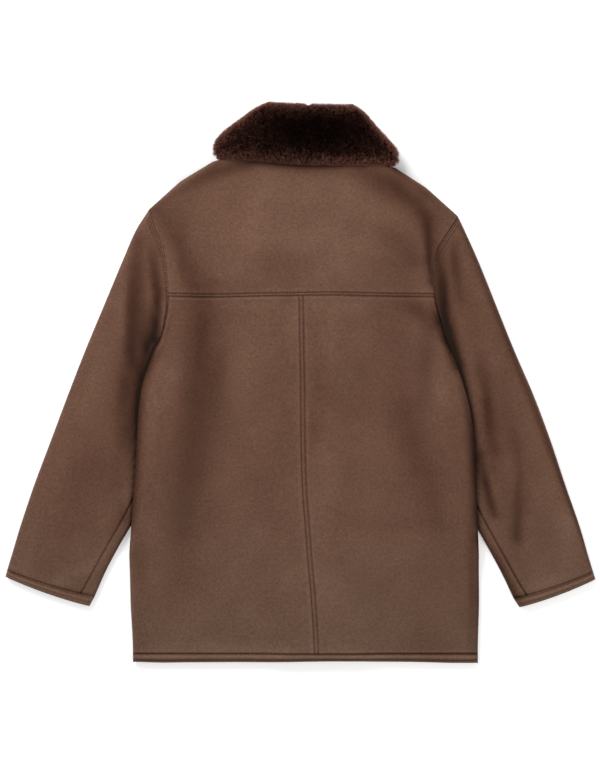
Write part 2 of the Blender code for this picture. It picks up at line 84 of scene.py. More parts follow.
# The body's outline and inner lines, level by level from the hem to the neck.
BODY_COLUMNS = "left_x left_y right_x right_y centre_x half_lap"
BODY_SECTIONS = {
    "hem edge": (-267, -448, 285, -448, 30.5, 40),
    "hem seam": (-267, -434, 285, -434, 30, 40),
    "low hip": (-271, -345, 287, -345, 24.8, 40),
    "hip": (-272, -280, 286, -280, 19, 40),
    "sleeve leaves": (-269, -237, 284, -237, 15.7, 40),
    "high hip": (-266.5, -198, 283, -198, 12.7, 40),
    "low waist": (-263, -150, 281.5, -150, 9.9, 40),
    "waist": (-260, -100, 278.5, -100, 8.7, 40),
    "high waist": (-257.2, -50, 272.5, -50, 8.2, 40),
    "ribs": (-252, -10, 262.5, -10, 8, 40),
    "sleeve tucks in": (-241, 27, 250, 27, 7.4, 40),
    "low underarm": (-233, 50, 241, 51, 6.8, 40),
    "underarm": (-223, 68, 233, 70, 6.6, 40),
    "armhole low": (-216, 90, 226, 96, 6.3, 40),
    "yoke seam": (-210, 136.5, 215, 136, 5.6, 40),
    "armhole mid": (-212, 175, 212, 172, 5.8, 40),
    "armhole high": (-217, 210, 217, 206, 6.2, 40),
    "armhole top": (-230, 243, 233, 235, 6.6, 40),
    "shoulder point": (-241, 276, 253, 265, 8, 40),
    "shoulder": (-190, 320, 201, 310, 9, 45),
    "collar corner": (-137, 352, 152, 341.5, 9.5, 52),
    "under collar": (-116, 357, 131, 346, 10, 55),
    "neck": (-79, 400, 100, 396, 10.5, 60),
}
BODY_ROWS = table(BODY_COLUMNS, BODY_SECTIONS.values())

# The sleeves' outer and inner folds, from armhole to cuff, and the back seam's share of the way across.
SLEEVE_COLUMNS = "outer_x outer_y inner_x inner_y seam"
SLEEVE_LEFT = table(SLEEVE_COLUMNS, (
    (-241, 276, -223, 68, 90),
    (-262, 243, -233.4, 51, 90),
    (-283, 195, -241.4, 28, 90),
    (-313, 123, -235, -3, 89),
    (-343, 51, -215, -45, 89),
    (-371, -21, -207, -85, 88),
    (-398, -93, -211, -122, 88),
    (-425, -165, -241, -186, 87),
    (-449, -237, -274, -237, 88.5),
    (-460, -274, -309, -300, 87.5),
    (-468, -300.5, -328, -343, 84),
), shares=1)
SLEEVE_RIGHT = table(SLEEVE_COLUMNS, (
    (253, 265, 233, 70, 90),
    (268, 233, 241.6, 51, 90),
    (285, 195, 250.6, 28, 90),
    (314, 123, 245, -3, 89),
    (343, 51, 228, -45, 89),
    (374, -21, 220, -85, 88),
    (401, -93, 224, -122, 88),
    (425, -165, 254, -186, 87),
    (449.8, -237, 285, -237, 88.5),
    (461, -276, 321, -302, 87.5),
    (469.2, -303, 342, -346, 84),
), shares=1)
FIRST_TUCKED = 2
LAST_TUCKED = 8
CUFF_EDGES = dict(zip(("left", "right"), table("low_x low_y far_x far_y", (
    (-471, -311, -336, -358),
    (473, -315, 351, -360),
))))

# The collar's halves, from the top edge to the lower one: side fold, centre back, and end of the front leaf.
COLLAR_COLUMNS = "fold_x fold_y centre_x centre_y tip_x tip_y"
COLLAR_LEFT = table(COLLAR_COLUMNS, (
    (-60, 446, 14, 443, 0, 318),
    (-74, 438, 14, 430, -6, 312),
    (-102, 415, 13, 404, -22, 296),
    (-130, 390, 12, 379, -40, 275),
    (-140.5, 371, 11, 358, -54, 257),
    (-140, 359, 10, 347, -60, 250),
))
COLLAR_RIGHT = table(COLLAR_COLUMNS, (
    (94.5, 441.5, 14, 443, 21, 318),
    (107.5, 430, 14, 430, 27, 312),
    (128, 403, 13, 404, 43, 296),
    (149, 377, 12, 379, 61, 275),
    (159.5, 361, 11, 358, 75, 257),
    (160, 347, 10, 347, 81, 250),
))
COLLAR_BED = table("x y", (
    (-164, 340),
    (-66, 460),
    (98, 455),
    (184, 330),
    (104, 230),
    (-84, 230),
))

# The stand: its neck seam and its roll line, from the side fold along the front to the centre front.
STAND_COLUMNS = "seam_x seam_y roll_x roll_y"
STAND_FRONT_LEFT = table(STAND_COLUMNS, (
    (-79, 400, -40, 436),
    (-48.5, 400, -30, 415),
    (-41.5, 356, -20, 375),
    (-32.5, 315, -8, 335),
    (-28, 285, 9.5, 300),
))
STAND_FOLD_RIGHT = table(STAND_COLUMNS, ((100, 396, 61, 434),))[0]
STAND_MIDDLE = 0.0105
STAND_ROWS = 9
STAND_FRONT_STEPS = 8
STAND_BACK_STEPS = 30

# Creases: a bent line of three places, the width, and the height above the even surface.
CREASES = table("x0 y0 x1 y1 x2 y2 width height", (
    # Long soft troughs down both sides of the back, and the fuller stretch outside each.
    (-146, 131, -160, -20, -186, -240, 24, -2.2),
    (140, 100, 160, 0, 188, -200, 26, -2),
    (-218, 19, -226, -60, -231, -157, 20, 1.4),
    (222, 11, 236, -80, 244, -157, 20, 1.4),
    (-90, 60, -98, -80, -92, -230, 34, 0.7),
    (80, 40, 96, -100, 110, -260, 34, 0.7),
    # Shallow hollows in the yoke beside each armhole.
    (-204, 256, -183, 212, -158, 168, 17, -1.6),
    (201, 272, 205, 232, 209, 186, 6.5, -2.2),
    (158, 307, 176, 252, 180, 196, 18, -1.2),
    (-47, 187, -20, 194, 4, 190, 22, -0.7),
    # Sleeve heads and sleeves.
    (-228, 206, -223, 150, -229, 75, 7.5, -4),
    (226, 196, 231, 140, 236, 75, 8.5, -4.4),
    (-265, 219, -271, 150, -266, 51, 12, -2.2),
    (252, 203, 255, 160, 257, 100, 11, -1.8),
    (-300, 110, -330, 20, -372, -110, 28, 1.8),
    (-354, -93, -370, -189, -383, -253, 20, -1.2),
    (279, 59, 296, -40, 314, -150, 13, -2),
    (308, 10, 324, -77, 332, -141, 17, 1.6),
    (334, -125, 343, -189, 352, -261, 14, -1.8),
    (372, -20, 392, -110, 412, -200, 22, 1.2),
))

# Painted shade on the skin, or below zero painted highlights: a bent line of three places, its width, and
# how much darker at each place.
SHADE_COLUMNS = "x0 y0 x1 y1 x2 y2 width start middle stop"
BODY_PAINTED_SHADES = table(SHADE_COLUMNS, (
    # Yoke: a painted highlight on the middle, painted shade in folds inside both shoulders and beside the
    # armholes, and painted highlights on the shoulders.
    (-110, 248, -20, 246, 80, 262, 60, -4, -14, -10),
    (-70, 212, 10, 216, 80, 212, 30, -10, -18, -12),
    (20, 165, 56, 185, 100, 165, 22, -12, -22, -10),
    (-135, 160, -100, 184, -62, 164, 22, -8, -18, -8),
    (78, 296, 70, 262, 64, 230, 20, -14, -14, -10),
    (-84, 348, -140, 332, -200, 302, 13, 50, 60, 16),
    (102, 337, 148, 315, 202, 265, 18, 36, 72, 40),
    (-100, 352, 6, 344, 60, 344, 9, 26, 80, 30),
    (-127, 350, -184, 320, -240, 276, 5.5, 10, -24, 20),
    (152, 340, 208, 304, 257, 262, 6, 26, -6, -8),
    (190, 304, 208, 270, 212, 216, 13, 6, 22, 26),
    (-224, 272, -194, 222, -168, 160, 13, 22, 40, 34),
    (-168, 176, -144, 162, -112, 158, 10, 12, 16, 2),
    (-72, 188, -34, 196, 6, 186, 24, 4, 17, 4),
    (110, 244, 158, 226, 196, 204, 18, 6, 22, 14),
    (110, 176, 160, 190, 204, 194, 12, 2, 8, 22),
    (204, 270, 206, 215, 210, 160, 8, 20, 42, 52),
    (-140, 126, -90, 124, -40, 128, 12, -14, -24, -10),
    (26, 126, 76, 120, 130, 126, 15, -14, -26, -6),
    # Back: painted shade in a trough down each side, the left one plainer, and a painted highlight on the
    # fullness outside it.
    (-156, 140, -160, 0, -194, -290, 34, 46, 54, 24),
    (-124, 90, -126, 30, -134, -60, 16, 6, 22, 4),
    (-194, 52, -203, 6, -206, -40, 14, -4, -26, -2),
    (-226, 50, -238, -60, -246, -200, 13, 0, -12, 0),
    (-252, -20, -261, -110, -268, -230, 9.5, 52, 50, 40),
    (-217, 88, -234, 44, -251, -4, 9.5, 30, 92, 62),
    (217, 120, 229, 76, 248, 24, 8.5, 40, 84, 56),
    (-254, -240, -256, -330, -252, -400, 12, 12, 14, 2),
    (160, 128, 194, 112, 214, 98, 15, 10, 42, 46),
    (210, 90, 201, 36, 196, -30, 16, 26, 36, 18),
    (142, 126, 172, -60, 212, -260, 26, 8, 26, 6),
    (110, -6, 150, -50, 196, -120, 44, 14, 16, 14),
    (210, -120, 216, -180, 222, -235, 16, 6, 20, 6),
    (216, 16, 224, -12, 232, -50, 11, -2, -26, -4),
    (268, 0, 281, -120, 285, -250, 13, 16, 72, 42),
    (284, -250, 286, -330, 284, -430, 13, 32, 28, 10),
    (246, -60, 252, -150, 262, -240, 25, 12, 18, 10),
    (205, -280, 215, -350, 200, -425, 36, 4, 14, 12),
    (-220, -300, -226, -360, -220, -425, 36, 0, 6, 0),
    (-10, -250, 60, -320, 120, -400, 34, 0, -8, -2),
    (-116, 90, -94, 0, -80, -110, 30, -2, -12, 0),
    (-90, -200, -72, -240, -62, -290, 28, -4, -18, -4),
    (-140, -390, -92, -384, -50, -392, 26, 0, -14, 0),
    (52, 50, 60, 36, 66, 20, 16, -6, -14, -4),
    (44, -125, 50, -160, 48, -200, 16, -8, -18, -6),
    (26, 95, 28, 0, 30, -80, 12, 10, 8, 14),
    (36, -20, 64, -44, 104, -50, 22, 12, 16, 8),
    (60, -220, 130, -230, 215, -222, 18, 14, 16, 16),
    (-240, -424, -60, -425, 80, -425, 11, -8, -22, -8),
    # Smaller painted shade and highlights over both, at their edges and seams and at single spots.
    (286, -80, 291, -280, 288, -440, 8, 14, 22, 30),
    (-214, 298, -238, 274, -262, 240, 9, 10, 24, 20),
    (-193, 200, -188, 175, -186, 156, 7, 10, 28, 10),
    (-173, 174, -163, 165, -150, 160, 10, -12, -28, -16),
    (193, 266, 198, 246, 202, 226, 10, 14, 28, 16),
    (84, 330, 114, 302, 140, 284, 14, 8, 14, 8),
    (146, 352, 153, 344, 165, 336, 9, 40, 60, 34),
    (-70, 351, 10, 349, 100, 345, 6, 34, 74, 30),
    (206, 296, 206, 276, 208, 256, 9, 8, -30, -12),
    (192, 226, 196, 206, 200, 190, 8, -6, -20, -6),
    (211, 176, 212, 150, 213, 130, 5, 10, 30, 10),
    (203, 106, 211, 97, 218, 90, 9, -12, -28, -10),
    (229, 94, 236, 70, 242, 46, 6, 14, 28, 18),
    (247, 34, 272, -70, 281, -225, 6.5, 20, 30, 26),
    (274, -270, 275, -330, 274, -390, 9, 8, 16, 6),
    (256, -310, 256, -345, 256, -380, 20, 4, 12, 6),
    (-254, -30, -259, -120, -264, -215, 7, 12, 18, 14),
    (-271, -250, -272, -340, -269, -440, 5, -24, -34, -44),
    (-148, 130, -156, 85, -158, 30, 14, 6, 16, 10),
    (170, 200, 166, 165, 176, 120, 20, 10, 12, 12),
    (0, 140, -8, 115, -10, 80, 12, -12, -20, -10),
    (-28, 300, -32, 270, -32, 235, 14, -2, -10, -6),
    (18, -30, 19, -55, 21, -105, 7, 6, 20, 10),
    (-30, -30, -24, -50, -14, -70, 12, 8, 16, 4),
    (16, -200, 22, -245, 36, -225, 22, -6, -12, -10),
    (204, 252, 204.5, 219, 208, 176, 3, 10, 18, 24),
    (172, 322, 200, 300, 226, 276, 5, 10, 22, 6),
    (122, 322, 127, 306, 140, 294, 10, 8, 20, 12),
    (-195, 275, -185, 255, -182, 232, 13, 10, 17, 13),
    (224, 108, 235, 78, 243, 52, 6, 10, 18, 14),
    (-10, 350, 40, 349, 85, 349, 6, 25, 42, 15),
    (140, 348, 150, 345, 158, 341, 7, 20, 36, 26),
    (0, 336, 40, 334, 80, 336, 10, 6, 15, 8),
    (273, -200, 274, -320, 272, -430, 6, 9, 13, 11),
    (168, 333, 188, 318, 206, 304, 3.5, -16, -36, -16),
    (-256, 262, -246, 276, -232, 290, 5, 16, 26, 12),
    (-140, 185, -125, 165, -105, 150, 14, -6, -11, -8),
    (10, 180, 30, 178, 45, 160, 12, -7, -13, -9),
    (16, -385, 20, -400, 22, -418, 9, -6, -13, -6),
), shares=3)
SLEEVE_PAINTED_SHADES = table(SHADE_COLUMNS, (
    # Painted shade in the hollow beside each armhole, which runs on down the inner side and is darkest at
    # the underarm.
    (-233, 205, -225, 145, -231, 68, 9, 34, 76, 78),
    (-258, 222, -262, 140, -264, 60, 16, 30, 34, 14),
    (-230, 140, -246, 40, -272, -120, 12, 4, 86, 10),
    (-270, 80, -278, 10, -284, -95, 15, 16, 66, 22),
    (-260, -20, -270, -120, -278, -225, 9, 22, 24, 2),
    (-260, 240, -267, 130, -262, 0, 11.5, 6, 40, 20),
    (217, 214, 226, 120, 248, 26, 12, 30, 84, 50),
    (246, 222, 250, 180, 256, 130, 10, 22, 46, 16),
    (216, 240, 230, 150, 238, 84, 9, 10, 30, 30),
    (234, 130, 254, 30, 286, -120, 9, 6, 86, 20),
    (287, -116, 298.5, -168, 311, -212, 8, 42, 92, 50),
    # Painted shade and highlights on folds down the sleeves, and on both outer edges.
    (-272, 234, -352, 46, -458, -260, 6, 6, -10, -16),
    (-306, -50, -330, -150, -352, -226, 30, 16, 26, 16),
    (-340, -40, -372, -170, -384, -270, 21, 0, 14, 16),
    (-288, 130, -322, 10, -356, -110, 18, 0, -10, -4),
    (-416, -180, -430, -240, -436, -290, 15, -6, -20, -12),
    (-304, -264, -336, -298, -384, -312, 11, -14, -26, -18),
    (-284, -250, -306, -292, -334, -342, 8, 14, 10, -24),
    (294, 46, 299, -35, 310, -112, 12, 14, 62, 22),
    (322, 6, 326, -50, 330, -100, 18, 14, 28, 14),
    (262, 140, 280, 60, 296, -10, 16, 12, 18, 2),
    (344, -80, 350, -150, 347, -250, 8.5, 20, 36, 50),
    (316, -110, 330, -180, 338, -235, 18, 16, 22, 14),
    (358, -100, 364, -150, 360, -205, 14, 14, 18, 14),
    (-272, -145, -275, -175, -277, -205, 6, -10, -44, -10),
    (300, 110, 330, 50, 350, -10, 28, 10, 16, 12),
    (251, 268, 366, -20, 470, -290, 5.8, 34, 46, 84),
    (404, -170, 422, -235, 432, -290, 16, -10, -24, -18),
    (366, -334, 398, -322, 440, -306, 10, -14, -24, -8),
    (292, -246, 320, -295, 346, -345, 8, 20, 44, 36),
    # Smaller painted shade and highlights over these.
    (-251, 180, -252, 120, -250, 70, 11, 12, 24, 24),
    (-274, 180, -275, 110, -271, 30, 8, 10, 24, 14),
    (-240, 70, -244, 56, -248, 40, 8, 12, 40, 10),
    (-270, 50, -266, 40, -262, 26, 9, 10, 16, 12),
    (-238, 195, -234, 155, -229, 108, 6, 16, 30, -18),
    (-218, 134, -217, 112, -220, 90, 4, -10, -30, -12),
    (-270, 232, -281, 170, -285, 80, 8, -20, -22, -16),
    (-274, -190, -283, -216, -300, -238, 11, 14, 38, 14),
    (-282, -80, -289, -120, -294, -165, 10, 12, 20, 14),
    (-350, -40, -314, -70, -306, -104, 22, -10, -13, -6),
    (-380, -130, -386, -160, -390, -190, 16, -8, -13, -6),
    (246, 210, 246, 195, 246, 180, 7, 10, 22, 10),
    (231, 185, 233, 155, 236, 125, 6, 10, 26, 10),
    (238, 112, 240, 98, 242, 86, 6, -10, -24, -10),
    (297, -30, 300, -70, 303, -108, 8, 10, 28, 12),
    (321, -86, 324, -102, 327, -118, 7, -6, -20, -6),
    (290, 50, 322, 12, 350, -14, 22, -7, -10, -8),
    (336, -230, 349, -290, 362, -335, 13, 8, 14, 16),
    (308, -264, 327, -300, 346, -340, 10, 8, 20, 20),
    (283.5, 38, 288, 12, 292.5, -10, 4, 10, 20, 4),
    (303.5, -116, 308.5, -136, 313, -158, 5, 6, 24, 12),
    (300, -186, 304.5, -198, 309, -212, 5, 8, 20, 6),
    (278, -180, 286, -198, 294, -218, 4.2, -10, -20, -10),
    (224, 108, 235, 78, 243, 52, 6, 10, 18, 14),
    (281, -150, 283, -172, 287, -195, 4, -18, -32, -16),
    (340, -352, 350, -350, 362, -347, 7, 18, 32, 14),
    (-440, -312, -410, -320, -370, -325, 6, -10, -20, -13),
    (-368, 0, -357, 28, -345, 55, 4, -10, -24, -10),
    (345, 40, 358, 12, 368, -8, 4, -10, -26, -10),
), shares=3)

# Stitches: how far in from their seam, along their row, and their thread. A stitch's rings lie at shares of
# its length, with thickness and height as shares of the thread.
STITCH_IN = 0.0050
SECOND_STITCH_IN = 2 * STITCH_IN - 0.0007
CENTRE_STITCH_IN = 0.0064
BAND_STITCH_IN = 0.0048
STITCH_PITCH = 0.0034
STITCH_LENGTH = 0.0022
THREAD = 0.00072
THREAD_FLAT = 0.8
THREAD_SIDES = 6
Ring = namedtuple("Ring", "place thick height")
STITCH = (
    Ring(-0.5, 0.25, -1.1),
    Ring(-0.42, 0.8, -0.35),
    Ring(-0.2, 1.0, 0.15),
    Ring(0.2, 1.0, 0.15),
    Ring(0.42, 0.8, -0.35),
    Ring(0.5, 0.25, -1.1),
)

# Where the rows of stitches run: along the hem from place to place, along the centre seam this far from its
# ends, and elsewhere from share to share of the seam. A path has so many places, and is dropped on the skin
# from a height above all of it.
HEM_STITCHES = (-0.262, 0.280)
HEM_STITCH_WAVE = 0.78
CENTRE_STITCH_ENDS = (0.002, 0.001)
YOKE_STITCHES = (0.004, 0.996)
ARMHOLE_STITCHES = (0.04, 0.985)
CUFF_STITCHES = (0.03, 0.97)
CUFF_STITCH_PART = 0.16
PATH_PLACES = 60
CUFF_PATH_PLACES = 40
ABOVE_ALL = 0.2

# Seams and bound edges: how deep and wide the ditch of a seam is, how full a band is, how thick it is left
# at its edge, by which part a cuff's upper layer is longer and its lower one shorter, and from which angle
# on, in degrees, an edge is sharp.
DITCH = 0.0009
DITCH_WIDTH = 0.0012
PLAIN_WIDTH = 0.0015
HEM_SEAM = {"dark": 1.6, "width": 0.0022}
HEM_LIP = -0.0008
HEM_ROWS = 15
HEM_ROW_POWER = 1.2
CENTRE_DARK = 0.85
HEM_FULL = 0.0012
CUFF_FULL = 0.0014
BAND_FULLNESS = 0.7
BAND_ROUND = 0.0018
HEM_EDGE_WALL = 0.0015
CUFF_EDGE_WALL = 0.0020
CUFF_LONGER = 0.04
CUFF_SHORTER = 0.10
SHARP_ANGLE = 60.0

# How far the hem's edge lies above its straight line.
HEM_EDGE = table("x up", (
    (-256, 0.3),
    (-217, -0.8),
    (-179, -0.3),
    (-100, 0.1),
    (-64, 0),
    (-25, 0.8),
    (13, 1.5),
    (52, 2),
    (90, 1.8),
    (128, 0.8),
    (167, 0.5),
    (205, -0.2),
    (244, -1.2),
    (266, -1.3),
))

# Distances of the first mesh lines from a seam, from a folded edge, from a sleeve's back seam, from a free
# edge, from the end of a front's band and from the cuff's seam. Numbers of even steps on the sleeves.
NEAR_SEAM = (0, 0.0004, 0.0008, 0.0013, 0.002, 0.0028, 0.0036, 0.0043, 0.005, 0.0057, 0.0066, 0.008, 0.0102)
NEAR_FOLD = (0.0, 0.0002, 0.0006, 0.0012, 0.002, 0.0031, 0.0045, 0.0062, 0.008, 0.01)
NEAR_BACK_SEAM = (SEAM_GAP / 2, 0.0005, 0.0010, 0.0016, 0.0026, 0.0042)
NEAR_FREE_EDGE = (0.0, 0.001, 0.003)
NEAR_BAND_END = (0.0, 0.002)
CUFF_ROWS = (0.0006, 0.0013, 0.0022, 0.0034, 0.0048, 0.0062, 0.0076, 0.0088, 0.0098, 0.0104)
CUFF_SPREAD = 1.27
LEAST_STEP = 0.001
TOP_STEPS = 24
UNDER_STEPS = 3

# Profiles across a line, as sums of rolls: the place of each, its width, and its height or its painted
# shade, which below zero is a painted highlight. The places of STITCH rolls count from the row of stitches,
# and that of
# BAND_SEAM_SHADE from the band's seam.
Roll = namedtuple("Roll", "place width amount")
DITCH_ROLL = Roll(0.0, DITCH_WIDTH, -DITCH)
RIDGE = 0.0006
RIDGE_WIDTH = 0.0016
# The shade rolls below are painted shade, and painted highlights where their amount is below zero; the roll
# beside a plain seam is a painted highlight.
DITCH_DARK = 0.40
HIGHLIGHT_BESIDE_PLAIN = Roll(0.0038, 0.0017, -0.12)
STITCH_FORM = (Roll(0.0, 0.0009, -0.0007), Roll(0.0040, 0.0030, 0.0005))
STITCH_SHADE = (Roll(0.0, 0.0013, 0.36), Roll(0.0034, 0.0016, -0.17))
BAND_SEAM_SHADE = (Roll(-0.0054, 0.0026, -0.28),)
BAND_EDGE_SHADE = (Roll(BAND_STITCH_IN, 0.0013, 0.60), Roll(0.0, 0.0022, -0.34))
PLAIN_SEAM = (Roll(0.0045, 0.003, 0.0004), DITCH_ROLL)
SECOND_GROOVE = (Roll(SECOND_STITCH_IN, 0.0008, -0.0006),)
YOKE_WAVE = (Roll(0.055, 0.070, 0.0018), Roll(-0.135, 0.048, -0.0015))
GROOVE_SHADE = (Roll(0.0, 0.0034, 0.80), Roll(0.0, 0.011, 0.15))
ARMHOLE_SHADE = (Roll(0.0, PLAIN_WIDTH, 0.44),)
ARMHOLE_STITCH_SHADE = (
    Roll(STITCH_IN, 0.0012, 0.117),
    Roll(SECOND_STITCH_IN, 0.0012, 0.117),
    Roll(0.5 * STITCH_IN, 0.0010, -0.153),
    Roll(1.5 * STITCH_IN, 0.0010, -0.153),
    Roll(2.4 * STITCH_IN, 0.0012, -0.117),
)
BACK_SEAM_SHADE = (Roll(0.0, 0.0018, 0.56), Roll(0.0044, 0.0018, -0.14))
INNER_FOLD_SHADE = (Roll(0.0, 0.0040, 0.26),)
CUFF_SEAM_SHADE = (Roll(0.0, 0.0021, 0.55), Roll(0.0050, 0.0020, -0.05))
CUFF_TOP_SHADE = (Roll(0.0, 0.0018, 0.32), Roll(0.0062, 0.0032, -0.18))

# The body over a tucked sleeve: how far beside it the sleeve lies flat, and where the painted shadow in
# its groove ends.
COVER_MARGIN = 0.004
COVER_REACH = 0.034
COVER_FADE = 0.020
GROOVE_TOP = 0.080
GROOVE_TOP_FADE = 0.025
GROOVE_LOW = -0.262
GROOVE_LOW_FADE = 0.05

# How far the yoke seam's wave reaches, how much is left of the armhole's seam where it is pressed flat
# beside the yoke, how the underarm is tucked in, where the back seam starts to show, and how much of a
# sleeve's painted shade and highlights its lower side has.
YOKE_WAVE_REACH = 0.050
ARMHOLE_PRESSED = 0.30
ARMHOLE_LEAST = 0.4
ARMHOLE_STITCH_DARK = 1.15
PRESSED_START = -0.012
PRESSED_FADE = 0.024
UNDERARM_TUCK = 0.0085
UNDERARM_PLACE = 0.062
UNDERARM_REACH = 0.036
UNDERARM_START = 0.030
UNDERARM_SHARE = 0.25
BACK_SEAM_START = 0.12
BACK_SEAM_FADE = 0.16
LOWER_SHADE = 0.4

# Long waves that make the skin faintly uneven: radians a metre across and along, and their start. Each is
# bent by a slower one. The hollow nears its most with a slope. Short waves of the puckers beside a seam:
# radians a metre, start and share.
RIPPLES = ((31.0, 17.0, 0.3), (-23.0, 38.0, 1.9), (53.0, -12.0, 4.1), (9.0, 61.0, 2.6), (-71.0, 44.0, 5.2))
RIPPLE_HEIGHT = 0.0004
RIPPLE_BEND = 0.8
BEND_ALONG = 0.35
BEND_ACROSS = 0.3
RISE_SLOPE = 2.2
PUCKERS = ((430.0, 0.0, 1.0), (263.0, 1.3, 0.6), (710.0, 0.4, 0.5))
PUCKER_HEIGHT = 0.00010
PUCKER_REACH = 0.006

# The collar: its mesh, its rounded edges with the part of their thickness that is left, the room for the
# stand inside it, and the gap at the centre back.
COLLAR_GRID_ROWS = 22
COLLAR_ROW_EASE = 0.35
COLLAR_GRID_COLUMNS = 34
COLLAR_BENDS = (0.0, 0.03, 0.10, 0.22, 0.38, 0.58, 0.80, 1.0)
RIM_ROUND = 0.014
RIM_PART = 0.35
TIP_LONG = 0.1
TIP_ROUND = 0.012
TIP_PART = 0.4
STAND_ROOM = 0.0030
CENTRE_GAP = 0.0002

# The felt under the fur: how far inside the collar's leaf, from its face, its top edge and its lower edge.
FELT_DEPTH = 0.0084
FELT_DROP = 0.0080
FELT_RISE = 0.0052

# Strands: seeds and numbers, then their sizes and lean, how far they stray, and how they draw together in
# tufts.
FUR_SEED = 41
RIGHT_SEED = 10
STAND_SEED = 30
STRANDS = {"back": 31000, "front": 9000, "rim": 12000}
STAND_STRANDS = 9000
STRAND_CUTS = 2
STRAND_LENGTH = 0.0074
STAND_STRAND_LENGTH = 0.0060
STRAND_WIDTH = 0.00040
STRAND_TILT = 0.3
STAND_LEAN = 0.6
STRAND_BEND = 0.55
STRAND_TAPER = 0.55
STRAND_STRAY = 0.26
STRAND_LOWEST = 0.0002
TUFT = 0.0024
TUFT_PULL = 0.38
TUFT_STRAY = 0.34
TUFT_REACH = 1.04
TUFT_COVER = 0.8
TUFT_LEAST = 0.02

# The collar's middle, its top and lower edge, as places along at places across, and how strong the painted
# highlight on the lower edge is there.
COLLAR_MIDDLE = (0.0, 0.37, 0.020)
TOP_EDGE = ((-0.138, -0.060, 0.092, 0.158), (0.371, 0.446, 0.441, 0.361))
LOW_EDGE = ((-0.137, 0.010, 0.158), (0.359, 0.347, 0.347))
LOW_GLOW = ((-0.130, -0.020, 0.020), (0.50, 0.35, 1.0))

# How far the strands lean up at the top edge, and down at the lower edge and elsewhere, and the painted
# highlights on the rims.
TOP_LEAN = (Roll(0.0, 0.013, 0.9),)
LOW_LEAN = (Roll(0.0, 0.014, -0.8),)
DOWN_LEAN = -0.10
TOP_RIM = (Roll(FELT_DROP, 0.009, 2.2),)
LOW_RIM = (Roll(FELT_RISE, 0.008, 1.0),)
RIM_GLOW = 0.50

# How light the tips are in the painted shade of the fur's pool and where there is none, and how much of
# their random tone a whole tuft shares.
DARKEST_TIP = 0.08
LIGHTEST_TIP = 0.80
TUFT_PART = 0.6

# Factors drawn at random: the least, and how much more at most.
WIDTHS = (0.8, 0.4)
LENGTHS = (0.78, 0.44)
STAND_LENGTHS = (0.7, 0.5)

# The parting at the centre back, where the strands are shorter.
PARTING = (Roll(0.0130, 0.0035, 0.45),)
PARTING_START = 0.400
PARTING_FADE = 0.030

# Painted shade on the fur, darkest where it is seen end on: its middle, its half sizes, and where the
# painted shade starts to lift and over what reach, in half sizes.
Pool = namedtuple("Pool", "x y wide high start fade")
PAINTED_SHADE_POOL = Pool(0.026, 0.397, 0.094, 0.036, 0.25, 1.35)

# Colours. SHADE_POWERS make the painted shade redder, in green and in blue. HEM_TINT makes the dye less red
# towards the hem, fully at the first height of its span and not at all at the second.
LIGHT_SKIN = (0.1260, 0.0615, 0.0395, 1.0)
DARK_SKIN = (0.1030, 0.0490, 0.0312, 1.0)
SKIN_GLOSS = (1.0, 0.70, 0.55, 1.0)
SHADE_POWERS = (1.30, 1.44)
HEM_TINT = (0.93, 1.07, 1.10, 1.0)
HEM_TINT_SPAN = (-0.46, -0.13)
THREAD_DARK = (0.020, 0.0062, 0.0030, 1.0)
THREAD_LIGHT = (0.040, 0.0140, 0.0078, 1.0)
FUR_ROOT = (0.0030, 0.0010, 0.0008, 1.0)
FUR_MIDDLE = (0.0090, 0.0032, 0.0024, 1.0)
FUR_TIP_DARK = (0.0120, 0.0040, 0.0030, 1.0)
FUR_TIP_LIGHT = (0.430, 0.178, 0.125, 1.0)
PAPER = (0.93, 0.93, 0.93, 1.0)
WHITE = (1.0, 1.0, 1.0, 1.0)

# Scales of the patterns, to a metre.
CLOUDS = 11.0
LONG_GRAIN = 240.0
MOTTLES = 260.0
PEBBLES = 780.0
PORES = 1500.0
THREAD_TWIST = 1400.0
PILE_TUFTS = 900.0
PAPER_CLOUDS = 3.0

# Which of a pattern's values count, and what they turn into.
PATTERN = (0.3, 0.7)
WHOLE = (0.0, 1.0)
MOTTLE_TONES = (0.75, 1.25)
MOTTLE_ROUGHNESS = (0.44, 0.56)
PEBBLE_TONES = (1.05, 0.86)
FAINT_TONES = (0.985, 1.0)
SHADE_SPAN = (-0.5, 1.1)
SHADE_TONES = (1.5, 0.04)
PORE_HEIGHT = 0.35
GRAIN_HEIGHT = 1.2
FUR_ROUGHNESS = (0.62, 0.80)

# The floor glows away from the coat: from the first distance to the second, across and along.
FLOOR_SIZE = 40.0
FLOOR_DROP = 0.0004
FLOOR_GLOW = 0.30
GLOW_ACROSS = (0.19, 0.25)
GLOW_ALONG = (0.32, 0.42)

# The photograph's frame: its size in pixels, the pixel of the origin, and metres to a pixel.
IMAGE = (600, 765)
ORIGIN_PIXEL = (299.75, 382.0)
METRES_PER_PIXEL = 0.0015976
LENS = 90.0
SENSOR = 36.0
CAMERA_REACH = 20.0

# The sky's strength, and the lamps: names, places, sizes and watts.
SKY = 0.55
LAMPS = (
    ("key", (-1.2, 1.9, 1.9), 1.3, 66.0),
    ("fill", (1.4, -1.0, 2.2), 1.8, 20.0),
)


def smooth(value, start=0.0, reach=1.0):
    """0 at start and 1 a reach further on, with level ends."""
    share = np.clip((value - start) / reach, 0.0, 1.0)
    return share * share * (3.0 - 2.0 * share)


def bell(distance, width):
    return np.exp(-((distance / width) ** 2))


def profile(distance, rolls):
    """Height or shade at a distance from a line, from the rolls beside it."""
    return sum(roll.amount * bell(distance - roll.place, roll.width) for roll in rolls)


def round_edge(distance, reach):
    """Height of a quarter round, as a share, at a distance in from its edge."""
    share = np.clip(distance / reach, 0.0, 1.0)
    return np.sqrt(1.0 - (1.0 - share) ** 2)


